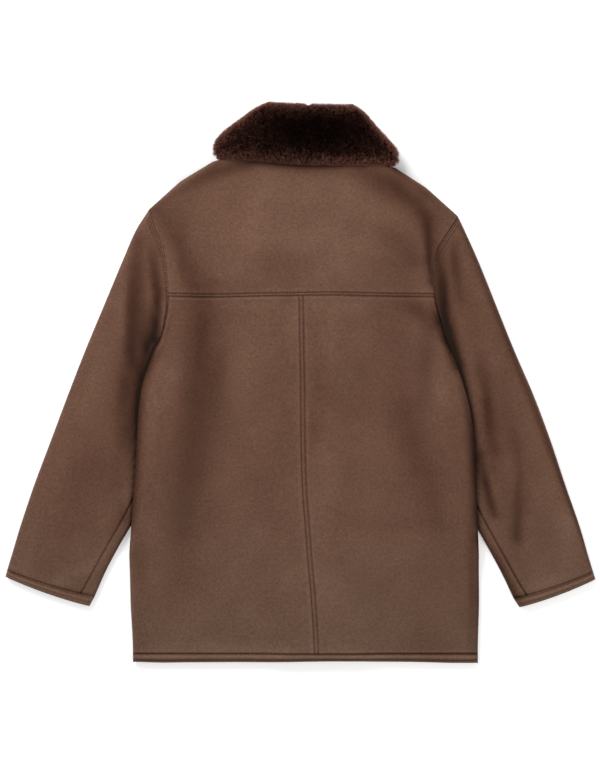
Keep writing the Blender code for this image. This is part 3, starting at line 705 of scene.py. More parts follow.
def flow(knots, values, at):
    """A smooth line through values at knots, which never swings past them."""
    knots = np.asarray(knots, dtype=float)
    values = np.asarray(values, dtype=float)
    steps = np.diff(knots)
    slopes = np.diff(values) / steps
    ends = np.zeros(len(knots))
    ends[0], ends[-1] = slopes[0], slopes[-1]
    same = slopes[:-1] * slopes[1:] > 0.0
    means = 2.0 * slopes[:-1] * slopes[1:] / np.where(same, slopes[:-1] + slopes[1:], 1.0)
    ends[1:-1] = np.where(same, means, 0.0)
    at = np.clip(at, knots[0], knots[-1])
    low = np.clip(np.searchsorted(knots, at, side="right") - 1, 0, len(steps) - 1)
    share = (at - knots[low]) / steps[low]
    start = (1.0 + 2.0 * share) * (1.0 - share) ** 2 * values[low]
    stop = share**2 * (3.0 - 2.0 * share) * values[low + 1]
    lean = share * (1.0 - share) ** 2 * ends[low] - share**2 * (1.0 - share) * ends[low + 1]
    return start + stop + lean * steps[low]


def share_along(x, y, start, end):
    """How far x, y lies along the stretch from start to end, as a share of it."""
    run_x, run_y = end[0] - start[0], end[1] - start[1]
    return ((x - start[0]) * run_x + (y - start[1]) * run_y) / (run_x**2 + run_y**2)


def distance_to_line(x, y, points):
    """Distance in plan from x, y to a run of straight stretches."""
    nearest = np.full(np.shape(x), np.inf)
    for start, end in zip(points[:-1], points[1:]):
        share = np.clip(share_along(x, y, start, end), 0.0, 1.0)
        gap_x = x - start[0] - share * (end[0] - start[0])
        gap_y = y - start[1] - share * (end[1] - start[1])
        nearest = np.minimum(nearest, np.hypot(gap_x, gap_y))
    return nearest


def bent_line(row):
    """The three places of a crease or a shade."""
    return row[0:2], row[2:4], row[4:6]


def sleeve_lift(x, y):
    """How far a tucked sleeve raises the body."""
    lift = np.zeros(np.shape(x))
    for sleeve, side in ((SLEEVE_LEFT, -1.0), (SLEEVE_RIGHT, 1.0)):
        edge = [(row.inner_x, row.inner_y) for row in sleeve[FIRST_TUCKED : LAST_TUCKED + 1]]
        places, heights = zip(*reversed(edge))
        beyond = side * x > side * np.interp(y, heights, places)
        over = beyond & (y < heights[-1]) & (y > heights[0])
        away = np.where(over, 0.0, distance_to_line(x, y, edge))
        lift = np.maximum(lift, SLEEVE_LIFT * (1.0 - smooth(away, SLEEVE_MARGIN, SLEEVE_SLOPE)))
    return lift


def collar_lift(x, y):
    """How far the collar's front leaves raise the body."""
    over = np.ones(np.shape(x), dtype=bool)
    ring = COLLAR_BED + COLLAR_BED[:1]
    for start, end in zip(ring[:-1], ring[1:]):
        turn = (end.x - start.x) * (y - start.y) - (end.y - start.y) * (x - start.x)
        over &= turn <= 0.0
    away = np.where(over, 0.0, distance_to_line(x, y, ring))
    return COLLAR_LIFT * (1.0 - smooth(away, 0.0, COLLAR_SLOPE))


def ripple(x, y):
    """Faint unevenness of a supple skin, from a few long waves that bend a little."""
    total = np.zeros(np.shape(x))
    for along_x, along_y, start in RIPPLES:
        bend = RIPPLE_BEND * np.sin(along_y * BEND_ALONG * x - along_x * BEND_ACROSS * y + start)
        total = total + np.sin(along_x * x + along_y * y + start + bend)
    return total / len(RIPPLES)


def rise(x, y):
    """The hollow between the two layers, which the creases make wider or narrower, up to MOST_RISE."""
    height = EVEN_RISE + RIPPLE_HEIGHT * ripple(x, y)
    for crease in CREASES:
        height = height + crease.height * bell(distance_to_line(x, y, bent_line(crease)), crease.width)
    return MOST_RISE * (0.5 + 0.5 * np.tanh(RISE_SLOPE * (height / MOST_RISE - 0.5)))


ROWS = np.array(BODY_ROWS)
KNOTS = np.array([(row.left_y + row.right_y) / 2 for row in BODY_ROWS])
LEVEL = dict(zip(BODY_SECTIONS, KNOTS))


def body_line(level, column):
    """A column of BODY_ROWS at a level: a smooth line up to the shoulder point, and straight above it."""
    values = ROWS[:, BODY_COLUMNS.split().index(column)]
    turn = list(BODY_SECTIONS).index("shoulder point") + 1
    below = flow(KNOTS[:turn], values[:turn], level)
    return np.where(level <= KNOTS[turn - 1], below, np.interp(level, KNOTS, values))


def outside_body(x, y):
    """How far x, y lies outside the body, and below zero how far inside."""
    return np.maximum(body_line(y, "left_x") - x, x - body_line(y, "right_x"))


def covered(x, y):
    """1 on the sleeves where the body lies on them or beside them, 0 well clear of it."""
    beside = 1.0 - smooth(outside_body(x, y), COVER_MARGIN, COVER_REACH)
    return beside * smooth(LEVEL["underarm"] + COVER_REACH - y, 0.0, COVER_FADE)


def painted_shading(x, y, shades):
    """Painted shade, and painted highlights below zero, from a table of strokes."""
    total = np.zeros(np.shape(x))
    for shade in shades:
        line = bent_line(shade)
        share = share_along(x, y, line[0], line[2])
        strength = np.interp(share, (0.0, 0.5, 1.0), (shade.start, shade.middle, shade.stop))
        total = total + strength * bell(distance_to_line(x, y, line), shade.width)
    return total


def groove_shade(x, y):
    """Painted shadow: the dark line on a sleeve where the body's side lies on it."""
    beside = profile(np.maximum(outside_body(x, y), 0.0), GROOVE_SHADE)
    return beside * smooth(GROOVE_TOP - y, 0.0, GROOVE_TOP_FADE) * smooth(y, GROOVE_LOW, GROOVE_LOW_FADE)


def moved(rolls, distance):
    return [roll._replace(place=roll.place + distance) for roll in rolls]


def sewn_seam(inset):
    """Rolls of a seam with a row of stitches beside it, which draws the skin down."""
    return Roll(inset / 2, RIDGE_WIDTH, RIDGE), *moved(STITCH_FORM, inset), DITCH_ROLL


def seam_shade(sewn, inset, width):
    """Rolls of painted shade in a seam's ditch and under its stitches, and painted highlights beside them.
    """
    ditch = Roll(0.0, width, DITCH_DARK)
    return ditch, *(moved(STITCH_SHADE, inset) if sewn else [HIGHLIGHT_BESIDE_PLAIN])


def pucker(distance, along):
    """Small puckers that the sewing draws in the skin beside it."""
    wave = sum(amount * np.sin(along * pace + start) for pace, start, amount in PUCKERS)
    return PUCKER_HEIGHT * wave * bell(distance - PUCKER_REACH, PUCKER_REACH)


def spread(start, stop, head, tail, step):
    """Places from start to stop: head and tail are set distances from the ends, with even steps between."""
    first = start + np.array(head)
    last = stop - np.array(tail)[::-1]
    count = max(1, int(round((last[0] - first[-1]) / step)))
    middle = np.linspace(first[-1], last[0], count + 1)[1:-1]
    return np.concatenate([first, middle, last])


def between(first, last, count):
    """Rows that begin with first and end with last, with a count of even steps between them."""
    share = np.linspace(0.0, 1.0, count + 2)[1:-1]
    start, stop = first[:, -1:], last[:, :1]
    return np.concatenate([first, start + share * (stop - start), last], axis=1)


def link(piece):
    bpy.context.scene.collection.objects.link(piece)
    return piece


def mesh_piece(name, points, faces, material, layers):
    """A smooth mesh in the scene, with named layers of one value a point."""
    mesh = bpy.data.meshes.new(name)
    mesh.from_pydata(points, [], faces)
    mesh.materials.append(material)
    for label, values in layers.items():
        layer = mesh.attributes.new(label, "FLOAT", "POINT")
        layer.data.foreach_set("value", values.astype(np.float32))
    mesh.shade_smooth()
    return link(bpy.data.objects.new(name, mesh))


def wall_faces(keep, columns, ring):
    """Faces of a wall over the cells that are kept: its outer and inner side, and the rims between them."""
    number = np.arange((len(keep) + 1) * columns).reshape(-1, columns)
    across = np.arange(keep.shape[1])
    after = (across + 1) % columns
    corner = [number[:-1][:, across], number[:-1][:, after], number[1:][:, after], number[1:][:, across]]
    front = np.stack([grid[keep] for grid in corner], axis=1)
    faces = [front, front[:, ::-1] + number.size]
    padded = np.pad(keep, ((0, 0), (1, 1)), mode="wrap" if ring else "constant")
    padded = np.pad(padded, ((1, 1), (0, 0)))
    beside = (
        (padded[:-2, 1:-1], 1, 0),
        (padded[2:, 1:-1], 3, 2),
        (padded[1:-1, :-2], 0, 3),
        (padded[1:-1, 2:], 2, 1),
    )
    for neighbour, start, stop in beside:
        rim = keep & ~neighbour
        first, second = corner[start][rim], corner[stop][rim]
        faces.append(np.stack([first, second, second + number.size, first + number.size], axis=1))
    return np.concatenate(faces)


def outward(points, faces):
    """The faces, turned so that they look out of the solid."""
    corners = points[faces]
    volume = 0.0
    for second, third in ((1, 2), (2, 3)):
        volume += (corners[:, 0] * np.cross(corners[:, second], corners[:, third])).sum()
    return faces if volume >= 0.0 else faces[:, ::-1]


def wall(name, outer, inner, material, keep=True, ring=False, shade=None):
    """A closed wall between an outer and an inner grid of points, over the cells that are kept."""
    rows, columns = outer.shape[:2]
    cells = np.ones((rows - 1, columns if ring else columns - 1), dtype=bool) & keep
    used, packed = np.unique(wall_faces(cells, columns, ring), return_inverse=True)
    points = np.concatenate([outer.reshape(-1, 3), inner.reshape(-1, 3)])[used]
    faces = outward(points, packed.reshape(-1, 4))
    layers = {}
    if shade is not None:
        layers["shade"] = np.concatenate([shade.ravel(), np.zeros(shade.size)])[used]
    piece = mesh_piece(name, points.tolist(), faces.tolist(), material, layers)
    piece.data.set_sharp_from_angle(angle=math.radians(SHARP_ANGLE))
    return piece


def declare(piece):
    """Rides the piece on the coat, and hides the solid that it stands for."""
    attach(piece, "root")
    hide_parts(piece.name.removeprefix("look_"))


class Look:
    """A material, built up node by node. An input of a node is a value, or a socket to link."""

    def __init__(self, name):
        self.material = bpy.data.materials.new(name)
        self.material.use_nodes = True
        self.tree = self.material.node_tree

    def feed(self, node, inputs):
        for name, value in inputs.items():
            if isinstance(value, bpy.types.NodeSocket):
                self.tree.links.new(value, node.inputs[name])
            else:
                node.inputs[name].default_value = value

    def node(self, kind, output, inputs, **settings):
        made = self.tree.nodes.new("ShaderNode" + kind)
        for name, value in settings.items():
            setattr(made, name, value)
        self.feed(made, inputs)
        return made.outputs[output]

    def place(self):
        return self.node("TexCoord", "Object", {})

    def part(self, place, axis):
        return self.node("SeparateXYZ", axis, {"Vector": place})

    def layer(self, name):
        return self.node("Attribute", "Fac", {}, attribute_name=name)

    def noise(self, place, scale, detail, rough=0.55):
        inputs = {"Vector": place, "Scale": scale, "Detail": detail, "Roughness": rough}
        return self.node("TexNoise", "Fac", inputs)

    def ramp(self, source, span, values):
        """A value that runs from the first of values to the second, as the source runs over its span."""
        inputs = {"Value": source, "From Min": span[0], "From Max": span[1]}
        return self.node("MapRange", "Result", inputs | {"To Min": values[0], "To Max": values[1]})

    def maths(self, kind, *terms):
        return self.node("Math", 0, dict(enumerate(terms)), operation=kind)

    def mix(self, share, first, second, kind="MIX"):
        """Mixes two colours. The node's inputs 0, 6 and 7 are its share and its colours."""
        return self.node("Mix", 2, {0: share, 6: first, 7: second}, data_type="RGBA", blend_type=kind)

    def times(self, first, second, share=1.0):
        return self.mix(share, first, second, "MULTIPLY")

    def bump(self, height, strength, distance):
        return self.node("Bump", "Normal", {"Height": height, "Strength": strength, "Distance": distance})

    def finish(self, colour, rough, gloss, more=()):
        inputs = {"Base Color": colour, "Roughness": rough, "Specular IOR Level": gloss}
        self.feed(self.tree.nodes["Principled BSDF"], inputs | dict(more))
        return self.material


def leather(name):
    """Smooth nappa: cloudy dye, a fine pebble grain, small pores and a satin face, with painted shade and
    highlights.
    """
    look = Look(name)
    place = look.place()
    mottles = look.noise(place, MOTTLES, detail=4.0, rough=0.7)
    pebbles = look.node("TexVoronoi", "Distance", {"Vector": place, "Scale": PEBBLES}, feature="F1")
    clouds = look.ramp(look.noise(place, CLOUDS, detail=4.0), (0.35, 0.66), WHOLE)
    colour = look.mix(clouds, DARK_SKIN, LIGHT_SKIN)
    colour = look.times(colour, look.ramp(mottles, PATTERN, MOTTLE_TONES))
    colour = look.times(colour, look.ramp(pebbles, (0.0, 0.7), PEBBLE_TONES))
    # Painted shade and highlights from the "shade" layer, redder where darker.
    light = look.ramp(look.layer("shade"), SHADE_SPAN, SHADE_TONES)
    green, blue = (look.maths("POWER", light, power) for power in SHADE_POWERS)
    tone = look.node("CombineColor", "Color", {"Red": light, "Green": green, "Blue": blue})
    colour = look.times(colour, tone)
    low = look.ramp(look.part(place, "Y"), HEM_TINT_SPAN, (1.0, 0.0))
    colour = look.times(colour, HEM_TINT, low)
    height = look.ramp(pebbles, (0.0, 0.8), (1.0, 0.0))
    pores = look.noise(place, PORES, detail=2.0, rough=0.6)
    height = look.maths("MULTIPLY_ADD", pores, PORE_HEIGHT, height)
    grain = look.maths("MULTIPLY", look.noise(place, LONG_GRAIN, detail=3.0), GRAIN_HEIGHT)
    normal = look.bump(look.maths("ADD", height, grain), strength=0.42, distance=0.00022)
    rough = look.ramp(mottles, PATTERN, MOTTLE_ROUGHNESS)
    return look.finish(colour, rough, gloss=0.24, more={"Normal": normal, "Specular Tint": SKIN_GLOSS})


def thread_look():
    """Waxed sewing thread, twisted."""
    look = Look("thread")
    inputs = {"Vector": look.place(), "Scale": THREAD_TWIST, "Distortion": 2.0}
    twist = look.node("TexWave", "Fac", inputs)
    return look.finish(look.mix(twist, THREAD_DARK, THREAD_LIGHT), rough=0.70, gloss=0.12)


def pile_look():
    """The clipped pile of the skin's inner side, and the felted base of the fur."""
    look = Look("pile")
    tuft = look.noise(look.place(), PILE_TUFTS, detail=4.0, rough=0.7)
    colour = look.mix(look.ramp(tuft, PATTERN, WHOLE), FUR_ROOT, FUR_MIDDLE)
    normal = look.bump(tuft, strength=0.8, distance=0.0015)
    return look.finish(colour, rough=0.95, gloss=0.05, more={"Normal": normal})


def fur_look():
    """Strands: near black at the root, redder at the tip, each a little different, with painted shade and
    highlights on the tips.
    """
    look = Look("fur")
    along = look.layer("along")
    own = look.layer("own")
    tip = look.mix(own, FUR_TIP_DARK, FUR_TIP_LIGHT)
    lower = look.mix(look.ramp(along, (0.0, 0.5), WHOLE), FUR_ROOT, FUR_MIDDLE)
    colour = look.mix(look.ramp(along, (0.30, 0.95), WHOLE), lower, tip)
    return look.finish(colour, look.ramp(own, WHOLE, FUR_ROUGHNESS), gloss=0.10)


def paper_look():
    """Pale paper, which glows a little, but not under the coat."""
    look = Look("paper")
    place = look.place()
    faint = look.ramp(look.noise(place, PAPER_CLOUDS, detail=2.0), PATTERN, FAINT_TONES)
    glow = []
    for axis, span in (("X", GLOW_ACROSS), ("Y", GLOW_ALONG)):
        away = look.maths("ABSOLUTE", look.part(place, axis), 0.0)
        glow.append(look.ramp(away, span, (0.0, FLOOR_GLOW)))
    more = {"Emission Color": WHITE, "Emission Strength": look.maths("MAXIMUM", *glow)}
    return look.finish(look.times(PAPER, faint), rough=0.9, gloss=0.5, more=more)


SKIN = leather("leather")
BAND_SKIN = leather("band_leather")
THREAD_LOOK = thread_look()
PILE = pile_look()
FUR = fur_look()


def side_fold(level):
    """1 where the body's ends are folded edges, 0 where they meet a sleeve."""
    below = round_edge(level - LEVEL["underarm"], FOLD)
    above = round_edge(LEVEL["shoulder point"] - level, FOLD)
    return 1.0 - np.minimum(below, above)


def yoke_wave(x, y):
    """How far the yoke seam, and the skin beside it, lies above its straight line."""
    return profile(x, YOKE_WAVE) * bell(y - LEVEL["yoke seam"], YOKE_WAVE_REACH)


class Body:
    """One layer of the body as a grid of points: levels by places across."""

    def __init__(self, kind, levels, start, stop, heads, step):
        """start and stop are its sides: left, lap_left, centre, lap_right or right."""
        self.kind = kind
        self.up = 1.0 if kind == "back" else -1.0
        self.levels = levels[:, None]
        line = {column: body_line(self.levels, column) for column in BODY_COLUMNS.split()}
        self.centre = line["centre_x"]
        self.lap_left = self.centre - line["half_lap"]
        lap_right = self.centre + line["half_lap"]
        ends = {"left": line["left_x"], "lap_left": self.lap_left, "centre": self.centre}
        ends |= {"lap_right": lap_right, "right": line["right_x"]}
        self.x = ends[start] + self.places(ends[stop] - ends[start], heads, step)
        self.from_left = self.x - ends["left"]
        self.from_right = ends["right"] - self.x
        share = self.from_left / (ends["right"] - ends["left"])
        self.y = line["left_y"] + share * (line["right_y"] - line["left_y"])
        self.y = self.y + yoke_wave(self.x, self.y)
        self.away = {
            "start": self.x - self.x[:, :1],
            "stop": self.x[:, -1:] - self.x,
            "low": self.y - self.y[:1],
            "high": self.y[-1:] - self.y,
        }
        self.dip = np.zeros(self.x.shape)
        # Painted shade and highlights from the table, on the back's layers only.
        self.shade = painted_shading(self.x, self.y, BODY_PAINTED_SHADES if kind == "back" else ())

    def places(self, run, heads, step):
        """Distances across each row: its heads as they are, and the middle stretched to the row's run."""
        wide = float(run.max())
        template = spread(0.0, wide, *heads, step)
        head, tail = heads[0][-1], heads[1][-1]
        middle = (template - head) / (wide - head - tail)
        across = head + middle * (run - head - tail)
        across = np.where(template <= head, template, across)
        return np.where(template >= wide - tail, run - (wide - template), across)

    def seam(self, side, sewn=False, where=1.0, dark=1.0, inset=STITCH_IN, width=PLAIN_WIDTH):
        """Turns one side of the layer down into a seam, all along or by a share of each row."""
        distance = self.away[side]
        along = self.y if side in ("start", "stop") else self.x
        fall = profile(distance, sewn_seam(inset) if sewn else PLAIN_SEAM)
        self.dip = self.dip + where * (fall + pucker(distance, along))
        # Painted shade in the ditch and under the stitches, and painted highlights beside them.
        self.shade = self.shade + where * dark * profile(distance, seam_shade(sewn, inset, width))

    def step(self):
        """How far the lap of the right front raises all that lies over it."""
        if self.kind == "front_low":
            return 0.0
        beside = smooth(np.abs(self.x - self.centre) - LAP, LAP_MARGIN, LAP_SLOPE)
        return LAP_STEP * (1.0 - beside) * (1.0 - smooth(self.y, LAP_TOP, LAP_SLOPE))

    def grids(self):
        """Its outer and its inner points."""
        folded = side_fold(self.levels)
        distance = np.minimum(self.from_left, self.from_right)
        inward = np.where(self.from_left < self.from_right, 1.0, -1.0)
        edge = round_edge(distance, FOLD)
        hollow = LAYER_GAP + rise(self.x, self.y)
        middle = sleeve_lift(self.x, self.y) + collar_lift(self.x, self.y) + WALL + hollow / 2
        made = []
        for half, inner in ((WALL + hollow / 2, False), (hollow / 2, True)):
            curved = SEAM_GAP / 2 + (half - SEAM_GAP / 2) * edge
            height = middle + self.up * (folded * curved + (1.0 - folded) * half) + self.step()
            shift = inward * np.clip(WALL * (1.0 - distance / FOLD), 0.0, None) * folded * inner
            if not inner:
                height = height + (self.dip if self.kind == "back" else -np.minimum(self.dip, 0.0))
            made.append(np.stack([self.x + shift, self.y, height], axis=-1))
        return made

    def build(self, name, keep=True):
        outer, inner = self.grids()
        piece = wall(name, outer, inner, SKIN, keep=keep, shade=self.shade)
        declare(piece)
        return piece


def levels_between(start, stop, head=(0.0,), tail=(0.0,), step=FINE):
    half = SEAM_GAP / 2
    return spread(LEVEL[start] + half, LEVEL[stop] - half, head, tail, step)


def at_seam(offsets):
    """Distances from a seam's line, on its own side of the gap."""
    return tuple(SEAM_GAP / 2 + distance for distance in offsets)


def armhole_depth(y):
    """The armhole's seam is pressed flat beside the yoke, and deeper below it."""
    below = smooth(LEVEL["yoke seam"] - y, PRESSED_START, PRESSED_FADE)
    return ARMHOLE_PRESSED + (1.0 - ARMHOLE_PRESSED) * below


def armhole_share(levels):
    return ((1.0 - side_fold(levels)) * armhole_depth(levels))[:, None]


def make_yoke():
    levels = levels_between("yoke seam", "neck", NEAR_SEAM)
    yoke = Body("back", levels, "left", "right", (at_seam(NEAR_FOLD),) * 2, FINE)
    yoke.seam("low", sewn=True)
    for side in ("start", "stop"):
        yoke.seam(side, where=armhole_share(levels))
    return yoke.build("look_back_yoke")


def make_lower_back():
    levels = levels_between("hem seam", "yoke seam", NEAR_SEAM, NEAR_SEAM)
    heads = (at_seam(NEAR_FOLD), at_seam(NEAR_SEAM))
    made = []
    for side, start, stop in (("left", "left", "centre"), ("right", "centre", "right")):
        left = side == "left"
        half = Body("back", levels, start, stop, heads if left else heads[::-1], FINE)
        half.seam("low", **HEM_SEAM)
        half.seam("high")
        half.seam("stop" if left else "start", sewn=left, dark=CENTRE_DARK, inset=CENTRE_STITCH_IN)
        half.seam("start" if left else "stop", where=armhole_share(levels))
        made.append(half.build("look_back_" + side))
    return made


def full_middle(share):
    """Height of a bound edge: full in the middle, and turned down at both sides."""
    return np.sin(math.pi * np.clip(share, 0.0, 1.0)) ** BAND_FULLNESS


def band_shade(across, deep):
    """Painted light on a bound edge: a painted highlight on the roll along its seam, painted shade along its
    line of stitches, and a painted highlight on its lip.
    """
    return profile(across, (*moved(BAND_SEAM_SHADE, deep), *BAND_EDGE_SHADE))


def hem_wave(x):
    """How far the hem's edge lies above its straight line."""
    return flow(*zip(*HEM_EDGE), x)


def make_hem_band(name, kind, start, stop):
    """A band along the hem, as a grid of rows from its edge to its seam."""
    back = kind == "back"
    low = LEVEL["hem edge"] + (HEM_LIP if back else 0.0)
    high = LEVEL["hem seam"] - SEAM_GAP / 2
    deep = LEVEL["hem seam"] - low
    rows = low + (high - low) * np.linspace(0.0, 1.0, HEM_ROWS) ** HEM_ROW_POWER
    heads = [at_seam(NEAR_FOLD) if side in ("left", "right") else NEAR_BAND_END for side in (start, stop)]
    band = Body(kind, rows, start, stop, heads, FINE)
    band.seam("high", **HEM_SEAM)
    outer, inner = band.grids()
    up = band.away["low"]
    turn = (1.0 - round_edge(up, BAND_ROUND)) * (WALL - HEM_EDGE_WALL)
    outer[..., 2] += HEM_FULL * full_middle(up / deep) - turn if back else turn
    for grid in (outer, inner):
        grid[..., 1] += hem_wave(band.x) * (1.0 - up / up.max())
    # The back band's painted highlights and shade.
    if back:
        band.shade += band_shade(up, deep)
    piece = wall(name, outer, inner, BAND_SKIN, shade=band.shade)
    declare(piece)
    return piece


def make_hem_bands():
    """The back one, with the fronts' ones under it."""
    back = make_hem_band("look_hem_band_back", "back", "left", "right")
    make_hem_band("look_hem_band_front_left", "front_low", "left", "lap_right")
    make_hem_band("look_hem_band_front_right", "front_high", "lap_left", "right")
    return back


def make_fronts():
    """Both fronts, face down, under the back. The right one lies on the left one's lap."""
    levels = levels_between("hem seam", "neck", NEAR_SEAM[::3], (0.0,), COARSE)
    heads = (at_seam(NEAR_FOLD), NEAR_FREE_EDGE)
    for side, kind, start, stop in (
        ("left", "front_low", "left", "lap_right"),
        ("right", "front_high", "lap_left", "right"),
    ):
        left = side == "left"
        front = Body(kind, levels, start, stop, heads if left else heads[::-1], COARSE)
        front.seam("low")
        front.seam("start" if left else "stop", where=armhole_share(levels))
        neck_line = front.lap_left if left else 2 * front.centre - front.lap_left
        middle_x = (front.x[:-1, :-1] + front.x[1:, 1:]) / 2
        middle_y = (front.y[:-1, :-1] + front.y[1:, 1:]) / 2
        beside_neck = middle_x < neck_line[:-1] if left else middle_x > neck_line[:-1]
        keep = (middle_y < LEVEL["shoulder point"]) | beside_neck
        front.build("look_front_" + side, keep=keep)


class Sleeve:
    """A sleeve lying flat: rows from armhole to cuff, each across from the outer to the inner fold."""

    def __init__(self, side):
        self.side = side
        self.sign = -1.0 if side == "left" else 1.0
        self.rows = np.array(SLEEVE_LEFT if side == "left" else SLEEVE_RIGHT)
        steps = np.hypot(*np.diff(self.rows[:, 0:2], axis=0).T)
        self.knots = np.concatenate([[0.0], np.cumsum(steps)])
        self.long = self.knots[-1]

    def lines(self, down):
        """The folds' places and the back seam's share, at distances down the sleeve."""
        return [flow(self.knots, column, down) for column in self.rows.T]

    def hole(self, share):
        """The armhole's line, from the shoulder point to the underarm."""
        level = LEVEL["shoulder point"] + share * (LEVEL["underarm"] - LEVEL["shoulder point"])
        return body_line(level, self.side + "_x"), body_line(level, self.side + "_y")

    def plan(self, down, share):
        """Places in plan. The top rows follow the body's armhole, and the underarm is tucked in."""
        outer_x, outer_y, inner_x, inner_y, _ = self.lines(down)
        first = self.rows[0]
        hole_x, hole_y = self.hole(share)
        fade = 1.0 - smooth(down / self.long, 0.0, ARMHOLE_FADE)
        x = outer_x + share * (inner_x - outer_x)
        y = outer_y + share * (inner_y - outer_y)
        x = x + fade * (hole_x - first[0] - share * (first[2] - first[0]))
        y = y + fade * (hole_y - first[1] - share * (first[3] - first[1]))
        bow = CUFF_BOW * (down / self.long) ** 4 * 4.0 * share * (1.0 - share)
        tuck = UNDERARM_TUCK * bell(down - UNDERARM_PLACE, UNDERARM_REACH)
        tuck = tuck * bell(1.0 - share, UNDERARM_SHARE) * smooth(down, 0.0, UNDERARM_START)
        return x + self.sign * (SEAM_GAP / 2 * fade - tuck), y - bow

    def width(self, down):
        outer_x, outer_y, inner_x, inner_y, _ = self.lines(down)
        return np.hypot(inner_x - outer_x, inner_y - outer_y)

    def surface(self, down, marks, up, dips=True):
        """Outer and inner points at distances down the sleeve and marks from the outer fold."""
        wide = self.width(down)
        near = np.minimum(marks, wide - marks)
        edge = round_edge(near, FOLD)
        made = []
        for inner in (False, True):
            shift = WALL * np.clip(1.0 - near / FOLD, 0.0, None) * inner
            place = np.where(marks < wide / 2, marks + shift, marks - shift)
            x, y = self.plan(down, place / wide)
            hollow = LAYER_GAP + rise(x, y) * (1.0 - covered(x, y))
            half = hollow / 2 if inner else WALL + hollow / 2
            height = WALL + hollow / 2 + up * half * edge
            if dips and not inner:
                dip = self.dip(down, marks, wide)
                height = height + up * edge * np.where(up > 0, dip, np.minimum(dip, 0.0))
            made.append(np.stack([x, y, height], axis=-1))
        return made

    def seam_mark(self, down):
        """The back seam's distance from the outer fold."""
        return self.lines(down)[4] * self.width(down)

    def seam_share(self, down):
        """The back seam rolls under near the armhole, and is plain to see on the lower arm."""
        return smooth(down, BACK_SEAM_START, BACK_SEAM_FADE)

    def dip(self, down, marks, wide):
        """Armhole with two rows of stitches, back seam, and the seam of the cuff band."""
        armhole = profile(down, sewn_seam(STITCH_IN) + SECOND_GROOVE) + pucker(down, marks)
        deep = armhole_depth(self.plan(down, marks / wide)[1])
        armhole = armhole * (ARMHOLE_LEAST + (1.0 - ARMHOLE_LEAST) * deep)
        seam = profile(np.abs(marks - self.seam_mark(down)), PLAIN_SEAM)
        return armhole + self.seam_share(down) * seam + profile(self.long - down, PLAIN_SEAM)

    def shade(self, down, marks, wide):
        # Painted shade and highlights: along the seams, from the table, and in the groove under the body's
        # side.
        x, y = self.plan(down, marks / wide)
        deep = armhole_depth(y)
        stitches = (ARMHOLE_STITCH_DARK - deep) * profile(down, ARMHOLE_STITCH_SHADE)
        armhole = deep * profile(down, ARMHOLE_SHADE) + stitches
        seam = marks - self.seam_mark(down)
        back = profile(seam, BACK_SEAM_SHADE) + (seam > 0.0) * profile(wide - marks, INNER_FOLD_SHADE)
        cuff = profile(self.long - down, CUFF_SEAM_SHADE)
        painted_seam_light = armhole + self.seam_share(down) * back + cuff
        return painted_seam_light + painted_shading(x, y, SLEEVE_PAINTED_SHADES) + groove_shade(x, y)

    def piece(self, which):
        """The top sleeve, or the under sleeve: from the back seam on, round a fold and back below."""
        half = SEAM_GAP / 2
        down = spread(half, self.long - half, NEAR_SEAM, NEAR_SEAM[:6], FINE)[:, None]
        wide = self.width(down)
        seam = self.seam_mark(down)
        beside = np.array(NEAR_BACK_SEAM)
        fold = np.tile(NEAR_FOLD, (len(down), 1))
        if which == "top":
            marks = between(fold, seam - beside[::-1], TOP_STEPS)
            up = np.repeat((-1.0, 1.0), (marks.shape[1] - 1, marks.shape[1]))
            marks = np.concatenate([marks[:, :0:-1], marks], axis=1)
        else:
            marks = between(seam + beside, wide - fold[:, ::-1], UNDER_STEPS)
            up = np.repeat((1.0, -1.0), (marks.shape[1], marks.shape[1] - 1))
            marks = np.concatenate([marks, marks[:, -2::-1]], axis=1)
        outer, inner = self.surface(down, marks, up)
        # The lower side gets less of the painted shade.
        shade = self.shade(down, marks, wide) * np.where(up > 0, 1.0, LOWER_SHADE)
        made = wall("look_sleeve_" + self.side + "_" + which, outer, inner, SKIN, shade=shade)
        declare(made)
        return made

    def band_way(self, share):
        """From the sleeve's end to the cuff's lower edge, at a share of the way across."""
        edge = CUFF_EDGES[self.side]
        start_x, start_y, end_x, end_y = self.rows[-1][0:4]
        way_x = (edge.low_x - start_x) * (1.0 - share) + (edge.far_x - end_x) * share
        way_y = (edge.low_y - start_y) * (1.0 - share) + (edge.far_y - end_y) * share
        return np.stack([way_x, way_y], axis=-1)

    def stitch_rows(self):
        """Places of the stitches: two rows along the armhole, and one across the cuff."""
        share = np.linspace(*ARMHOLE_STITCHES, PATH_PLACES)
        rows = [self.plan(np.full(share.shape, down), share) for down in (STITCH_IN, SECOND_STITCH_IN)]
        share = np.linspace(*CUFF_STITCHES, CUFF_PATH_PLACES)
        end = np.stack(self.plan(np.full(share.shape, self.long), share), axis=1)
        return [np.stack(row, axis=1) for row in rows], end + CUFF_STITCH_PART * self.band_way(share)

    def cuff_height(self, down, deep, edge, up):
        """How far a row of the cuff lies off the sleeve's end: full in the middle, turned in at the edge."""
        ditch = DITCH * bell(down, DITCH_WIDTH)
        turn = (1.0 - round_edge(deep - down, BAND_ROUND)) * (WALL - CUFF_EDGE_WALL)
        full = CUFF_FULL * full_middle(down / deep) - ditch
        return np.where(up > 0, full - turn, turn + ditch) * edge

